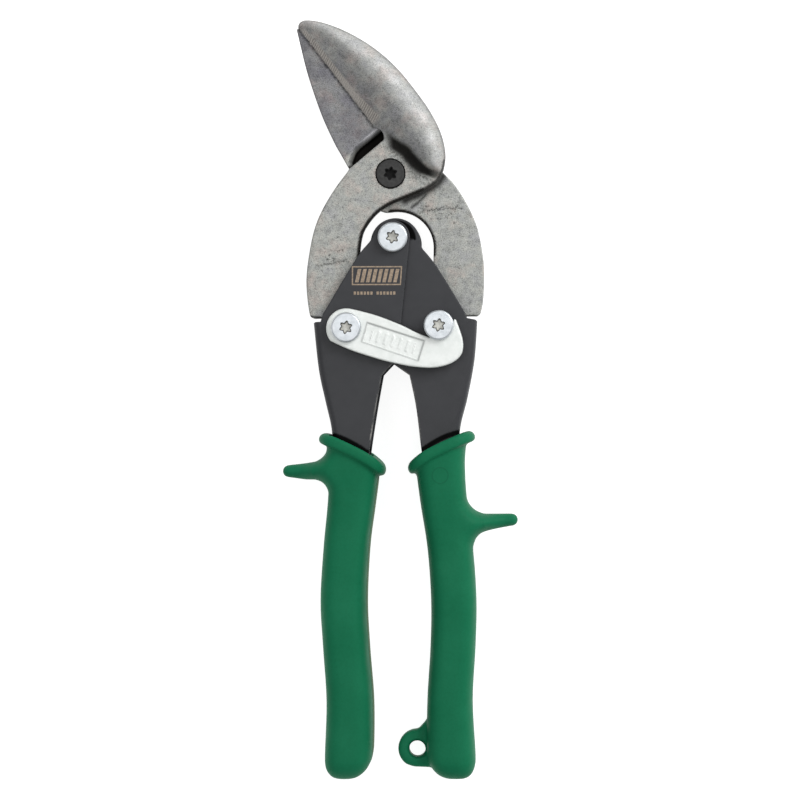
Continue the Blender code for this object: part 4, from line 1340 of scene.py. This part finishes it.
def make_grips(finish):
    stop = smooth([(-13.0, -84.0), (-19.6, -86.2), (-20.7, -88.6), (-22.8, -90.8), (-26.5, -91.7),
                   (-32.5, -92.4)], 5)
    stop += arc((-32.6, -94.35), 1.9, 95.0, 262.0, 12)
    stop += smooth([(-27.0, -97.0), (-22.8, -97.2), (-20.6, -99.0), (-19.4, -102.4), (-19.6, -106.0)], 5)
    stop += [(-13.0, -106.0)]
    stop = stop_plate("left_stop", stop, -20.0, -34.5)
    collar = collar_rings((-22.7, -83.4), (-1.2, -93.6), (0.55, 1.5))
    brim = [(-23.0, -82.6), (-1.0, -94.1)]
    make_grip("left_grip_skin", "left_grip", LEFT_GRIP, collar, brim, (-18.6, -94.5), stop,
              left_outer_edge() + left_inner_edge(), OUTER_FRONT - MID, "left_handle", finish,
              fin=flash("left_flash", [station[2:4] for station in LEFT_GRIP[:9]]))

    stop = [(16.0, -92.0), (16.0, -126.0)]
    stop += smooth([(26.2, -126.0), (26.1, -121.0), (26.4, -117.2), (29.0, -113.7), (38.2, -111.6)], 5)
    stop += arc((38.4, -109.65), 1.95, -84.0, 92.0, 12)
    stop += smooth([(29.5, -107.8), (26.6, -106.6), (24.4, -103.8), (23.6, -99.0), (23.4, -92.0)], 5)
    stop = stop_plate("right_stop", stop, 26.0, 40.3)
    collar = collar_rings((5.0, -92.9), (26.6, -82.7), (0.45, -1.6))
    ring = arc(LOOP, LOOP_RADIUS, 88.0, 235.0, 40)
    neck = [(7.2, -188.0), (12.9, -188.2), (16.0, -187.0), (16.0, -169.0), (12.7, -169.0), (12.3, -171.9),
            (11.0, -173.6), (9.8, -175.0)]
    tab = relief("loop_tab", ring + neck, [], lambda points, rim: MID + 3.0 - ease(rim, 1.4),
                 lambda points, rim: MID - 3.0 + ease(rim, 1.4), 0.7)
    wide = LOOP_HOLE + 0.8
    hole = [(0.0, MID + 3.4), (wide, MID + 3.4), (wide, MID + 3.02), (LOOP_HOLE, MID + 2.2),
            (LOOP_HOLE, MID - 2.2), (wide, MID - 3.02), (wide, MID - 3.4), (0.0, MID - 3.4)]
    brim = [(4.6, -92.4), (27.0, -81.6)]
    make_grip("right_grip_skin", "right_grip", RIGHT_GRIP, collar, brim, (23.6, -110.5), stop,
              right_inner_edge() + right_outer_edge(), INNER_FRONT - MID, "right_handle", finish,
              (tab,), hole)


# Latch

LATCH_END = (-13.6, -49.2)
LATCH_ROUND = 6.35
PANEL = ((-7.0, -47.3), (-8.8, -53.4), (9.0, -59.4), (11.0, -53.1))


def latch_outline():
    round_end = arc(LATCH_END, LATCH_ROUND, 78.0, 218.0, 36)
    lower = smooth([(-17.0, -53.9), (-11.8, -56.2), (-3.7, -58.8), (2.8, -60.4), (8.0, -61.3), (13.0, -61.6),
                    (17.0, -61.0), (20.0, -59.8), (22.2, -57.9), (23.1, -55.4), (22.9, -52.4), (21.9, -49.2),
                    (20.9, -46.6)])
    tip = [(20.6, -46.3), (20.2, -46.4)]
    mouth = [(19.0, -49.2)] + arc(RIGHT_LINK, SHOULDER + 0.5, -20.0, -118.0, 16)
    top = smooth([(12.4, -52.0), (8.5, -50.5), (3.6, -48.1), (-3.7, -45.25), (-9.4, -43.65), round_end[0]])
    return round_end + lower + tip + mouth + top[:-1]


def latch_top(points, rim):
    """A sunk panel with a row of plain raised bars, and rounded edges."""
    inside = within(points, PANEL)
    sunk = np.where(inside, step_up(gap_to(points, PANEL, closed=True), 0.0, 0.35), 0.0)
    centre = np.array(PANEL).mean(axis=0)
    run = np.array(PANEL[3]) - np.array(PANEL[0])
    run = run / np.linalg.norm(run)
    along = (points - centre) @ run
    across = (points - centre) @ np.array((-run[1], run[0]))
    bar = step_up(np.cos(along * 2 * math.pi / 2.4), 0.25, 0.75)
    bar *= (np.abs(across) < 1.75) * (np.abs(along) < 7.1)
    return LATCH_TOP - ease(rim, 0.5) - 0.3 * sunk + 0.16 * bar * sunk


def latch_fine():
    """Closer points over the stamped panel."""
    return [(x, y) for x in np.arange(-9.5, 11.8, 0.3) for y in np.arange(-60.0, -46.8, 0.3)]


def make_latch(finish):
    outline = latch_outline()
    latch = relief("latch_plate", outline, [circle(LEFT_LINK, SHAFT_HOLE, 40)], latch_top,
                   lambda points, rim: LATCH_LOW + ease(rim, 0.3), 0.6, (finish,), [latch_fine()])
    places = places_of(latch)
    plan = places[:, :2]
    front = places[:, 2] > LATCH_LOW + 0.8
    crease_shade = near(plan, [*PANEL, PANEL[0]], 0.24) * 0.75 + near(plan, [*outline, outline[0]], 0.2) * 0.4
    write_layer(latch, "crease_shade", crease_shade * front)
    finish_piece(latch, "latch", ["latch"])


# Fasteners


def hexalobe(centre, radius, lobe, steps=72):
    """A six-lobed driver's outline."""
    points = []
    for step in range(steps):
        angle = 2 * math.pi * step / steps
        reach = radius + lobe * math.cos(6 * angle)
        turned_to = angle + RECESS_TURN
        points.append((centre[0] + reach * math.cos(turned_to), centre[1] + reach * math.sin(turned_to)))
    return points


def rounded_head(top, low, radius):
    """A low head's profile: slightly crowned top, rolled rim."""
    profile = [(0.0, top), (radius * 0.45, top - 0.03), (radius * 0.72, top - 0.12)]
    edge = 0.6
    for step in range(7):
        angle = math.radians(90 - 15 * step)
        profile.append((radius - edge + edge * math.cos(angle), top - 0.15 - edge + edge * math.sin(angle)))
    return [*profile, (radius, low + 0.15), (radius - 0.15, low)]


def cut_recess(screw, centre, finish, shades, high, depth, reach=RECESS):
    """A driver recess in two steps: a narrow ledge of the first finish round a floor of the last; a dark
    ledge is painted shade, a pale floor painted light.
    """
    for shade in shades:
        screw.data.materials.append(shade)
    for step, (inset, drop) in enumerate(((0.0, 0.3), (RECESS_LEDGE, depth))):
        star = hexalobe(centre, reach - inset, RECESS_LOBE)
        tool = plate(screw.name + "_recess", star, high - drop, high + 1.0)
        for shade in (finish, *shades):
            tool.data.materials.append(shade)
        index = min(step + 1, len(shades))
        tool.data.polygons.foreach_set("material_index", [index] * len(tool.data.polygons))
        screw = combine(screw, tool, "DIFFERENCE")
    return screw


def make_screw(name, node, centre, body, finish, dark, painted_lit_zinc, shoulder_low):
    """A plated screw; the one that the latch hooks has a shoulder under its head."""
    low, high = levels(node)
    head_low = high - HEAD_HEIGHT
    profile = rounded_head(high, head_low, HEAD)
    if shoulder_low is not None:
        profile += [(SHOULDER, head_low), (SHOULDER, shoulder_low)]
        head_low = shoulder_low
    profile += [(SHAFT, head_low), (SHAFT, low + 0.4), (SHAFT - 0.4, low), (0.0, low)]
    screw = cut_recess(turned(name, profile, centre, finish), centre, finish, (dark, painted_lit_zinc), high, 1.1)
    finish_piece(screw, body, [node], 32.0)


def make_pivot_screw(finish, dark):
    low, high = levels("blade_pivot_screw")
    profile = [(0.0, high), (FLUSH_HEAD - 0.45, high - 0.02), (FLUSH_HEAD - 0.12, high - 0.12),
               (FLUSH_HEAD, high - 0.35), (FLUSH_HEAD, UPPER_TOP - 1.0), (PIVOT_SHAFT, UPPER_TOP - 1.0),
               (PIVOT_SHAFT, low + 0.5), (PIVOT_SHAFT - 0.5, low), (0.0, low)]
    screw = turned("blade_pivot_bolt", profile, BLADE_PIVOT, finish)
    screw = cut_recess(screw, BLADE_PIVOT, finish, (dark,), high, 1.5, 1.9)
    finish_piece(screw, "front_blade", ["blade_pivot_screw"], 32.0)


def make_nut(name, node, centre, flat, bore, body, finish, collar=False):
    """A hexagonal nut, chamfered at both ends; a locking nut adds a round collar."""
    low, high = levels(node)
    hexagon = arc(centre, flat / math.cos(math.pi / 6), 0.0, 300.0, 5)
    foot = low + (1.1 if collar else 0.0)
    nut = plate(name, hexagon, foot, high, None, [circle(centre, bore, 48)])
    reach = flat * 1.16
    barrel = [(flat * 0.98, high), (reach, high - 0.55), (reach, foot + 0.55), (flat * 0.98, foot),
              (0.5, foot), (0.5, high)]
    nut = combine(nut, turned(name + "_barrel", barrel, centre), "INTERSECT")
    if collar:
        ring = [(flat * 0.93, foot + 0.2), (flat * 0.93, low + 0.4), (flat * 0.85, low), (bore, low),
                (bore, foot + 0.2)]
        nut = combine(nut, turned(name + "_collar", ring, centre), "UNION")
    nut.data.materials.clear()
    nut.data.materials.append(finish)
    finish_piece(nut, body, [node], 28.0)


def make_ring(name, node, centre, bore, radius, body, finish):
    """A bush or washer with eased edges."""
    low, high = levels(node)
    ease_by = min(0.2, (high - low) / 4)
    profile = [(bore, high), (radius - ease_by, high), (radius, high - ease_by), (radius, low + ease_by),
               (radius - ease_by, low), (bore, low)]
    finish_piece(turned(name, profile, centre, finish), body, [node], 25.0)


def make_fasteners(plated, black, steel, dark, shaded, painted_lit_zinc):
    make_pivot_screw(black, dark)
    for place, centre, body, shoulder_low in (
            ("handle_pivot", HANDLE_PIVOT, "left_handle", None),
            ("left_link", LEFT_LINK, "left_handle", None),
            ("right_link", RIGHT_LINK, "right_handle", INNER_FRONT + GAP)):
        make_screw(place + "_bolt", place + "_screw", centre, body, plated, shaded, painted_lit_zinc, shoulder_low)
    make_nut("blade_pivot_locknut", "blade_pivot_nut", BLADE_PIVOT, 5.0, 3.3, "front_blade", black,
             collar=True)
    for place, centre, body in (("handle_pivot", HANDLE_PIVOT, "left_handle"),
                                ("left_link", LEFT_LINK, "left_handle"),
                                ("right_link", RIGHT_LINK, "right_handle")):
        make_nut(place + "_hex_nut", place + "_nut", centre, 4.0, SHAFT_HOLE, body, plated)
        make_ring(place + "_sleeve", place + "_bush", centre, SHAFT_HOLE, BUSH, body, plated)
    make_ring("blade_pivot_ring", "blade_pivot_washer", BLADE_PIVOT, 3.3, 6.2, "front_blade", plated)
    make_ring("latch_spring_washer", "latch_washer", LEFT_LINK, SHAFT_HOLE, 5.0, "left_handle", steel)


def make_spring(finish):
    """The coil and its two legs, in one pose and fixed to neither handle; the real spring twists between the
    handles as they open.
    """
    low, high = levels("torsion_spring")
    wire = 0.8
    low, high = low + wire, high - wire
    coil_radius = 5.3
    turns = 3.6
    steps = 260
    coil = []
    for step in range(steps + 1):
        share = step / steps
        angle = math.radians(176.0) + 2 * math.pi * turns * share
        coil.append((HANDLE_PIVOT[0] + coil_radius * math.cos(angle),
                     HANDLE_PIVOT[1] + coil_radius * math.sin(angle), low + (high - low) * share))
    left_leg = smooth([(-20.9, -53.6, low), (-20.3, -50.6, low), (-12.4, -36.0, low), (-5.4, -23.5, low)], 6)
    right_leg = smooth([(7.4, -24.0, high), (15.0, -36.0, high), (23.4, -50.0, high), (24.0, -53.0, high)], 6)
    spring = tube("return_spring", left_leg + coil + right_leg, wire, finish)
    finish_piece(spring, None, ["torsion_spring"])
    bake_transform(spring)


# Generic mark on the front flange


def make_mark(finish):
    """A framed block of slanting bars over two rows of dashes: no letters, and nobody's mark."""
    low, high = OUTER_FRONT + 0.005, OUTER_FRONT + 0.035
    left, right, top, foot = -12.0, 3.9, -29.5, -35.5
    outer = [(left, top), (right, top), (right - 0.4, foot), (left, foot)]
    inner = [(left + 0.4, top - 0.4), (right - 0.43, top - 0.4), (right - 0.77, foot + 0.4),
             (left + 0.4, foot + 0.4)]
    parts = [plate("mark_part", outer, low, high, None, [inner])]
    for index in range(8):
        x = left + 1.0 + index * 1.72
        parts.append(plate("mark_part", [(x, foot + 0.9), (x + 1.1, foot + 0.9), (x + 2.0, top - 0.9),
                                         (x + 0.9, top - 0.9)], low, high))
    for start in (-11.4, -4.2):
        for index in range(6):
            x = start + index * 1.05
            dash = [(x, -37.5), (x + 0.7, -37.5), (x + 0.7, -38.5), (x, -38.5)]
            parts.append(plate("mark_part", dash, low, high))
    mark = join_shells("handle_mark", *parts)
    mark.data.materials.append(finish)
    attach(mark, "left_handle")


# Stage, in metres

FLOOR_REACH = 6.0
FLOOR_LEVEL = -0.0004
LIGHT_AIM = Vector((0.0, -0.06, 0.0))
CAMERA_LEAN = math.radians(2.5)
CAMERA_DISTANCE = 0.85
CAMERA_SENSOR = 36.0
WIDTH_SEEN = 0.2541


def area_light(name, place, side, power):
    """A soft square light aimed at the tool."""
    lamp = bpy.data.lights.new(name, "AREA")
    lamp.shape = "RECTANGLE"
    lamp.size = side
    lamp.size_y = side
    lamp.energy = power
    item = bpy.data.objects.new(name, lamp)
    bpy.context.scene.collection.objects.link(item)
    item.location = place
    item.rotation_euler = (LIGHT_AIM - Vector(place)).to_track_quat("-Z", "Y").to_euler()


def make_stage():
    floor_material = Nodes("floor")
    floor_material.set(Base_Color=(0.5, 0.5, 0.5, 1.0), Roughness=0.9, Specular_IOR_Level=0.1,
                       Emission_Color=(1.0, 1.0, 1.0, 1.0), Emission_Strength=0.85)
    mesh = bpy.data.meshes.new("floor")
    signs = ((-1, -1), (1, -1), (1, 1), (-1, 1))
    corners = [(FLOOR_REACH * x, FLOOR_REACH * y, FLOOR_LEVEL) for x, y in signs]
    mesh.from_pydata(corners, [], [(0, 1, 2, 3)])
    add_object("floor", mesh, floor_material.material)
    world = bpy.data.worlds.new("studio")
    world.use_nodes = True
    sky = world.node_tree.nodes["Background"]
    sky.inputs["Color"].default_value = (1.0, 1.0, 1.0, 1.0)
    sky.inputs["Strength"].default_value = 0.40
    bpy.context.scene.world = world
    area_light("key_box", (0.70, 0.50, 0.70), 0.6, 8.0)
    area_light("top_box", (-0.1, 0.0, 1.1), 0.8, 2.5)
    bpy.context.scene.view_settings.view_transform = "Standard"


def make_camera():
    """Looking down at the tool as it lies, from a little to its right."""
    low, high = CAD_BOX
    target = Vector(((low.x + high.x) / 2, (low.y + high.y) / 2, (low.z + high.z) / 2))
    back = Vector((math.sin(CAMERA_LEAN), 0.0, math.cos(CAMERA_LEAN)))
    right = Vector((0.0, 1.0, 0.0)).cross(back).normalized()
    up = back.cross(right)
    camera = bpy.data.objects.new("camera", bpy.data.cameras.new("camera"))
    bpy.context.scene.collection.objects.link(camera)
    turn = Matrix((right, up, back)).transposed().to_4x4()
    camera.matrix_world = Matrix.Translation(target + back * CAMERA_DISTANCE) @ turn
    camera.data.sensor_width = CAMERA_SENSOR
    camera.data.lens = CAMERA_SENSOR * CAMERA_DISTANCE / WIDTH_SEEN
    camera.data.clip_start = 0.01
    bpy.context.scene.camera = camera


def main():
    make_camera()
    make_stage()
    # scale holds the blades' side-wall finish, painted nearly black as shade.
    steel, scale = blade_steel(), side_wall_shade()
    plated = zinc("zinc", (0.56, 0.60, 0.63), (0.70, 0.73, 0.76), (0.34, 0.46))
    # Shaded and lit copies of the zinc for the recesses: painted shade on the ledge, painted light on the
    # floor.
    shaded = zinc("zinc_shaded", (0.06, 0.06, 0.06), (0.16, 0.16, 0.155), (0.5, 0.65))
    painted_lit_zinc = zinc("zinc_painted_light", (0.42, 0.42, 0.39), (0.66, 0.66, 0.62), (0.45, 0.6))
    spring = spring_steel()
    make_upper_blade(steel, scale)
    make_lower_blade(steel, scale)
    make_handles((handle_paint(), handle_side_shade()))
    make_grips(grip_vinyl())
    make_latch(latch_zinc())
    make_fasteners(plated, black_oxide(), spring, recess_dark(), shaded, painted_lit_zinc)
    make_spring(spring)
    make_mark(mark_tan())


main()
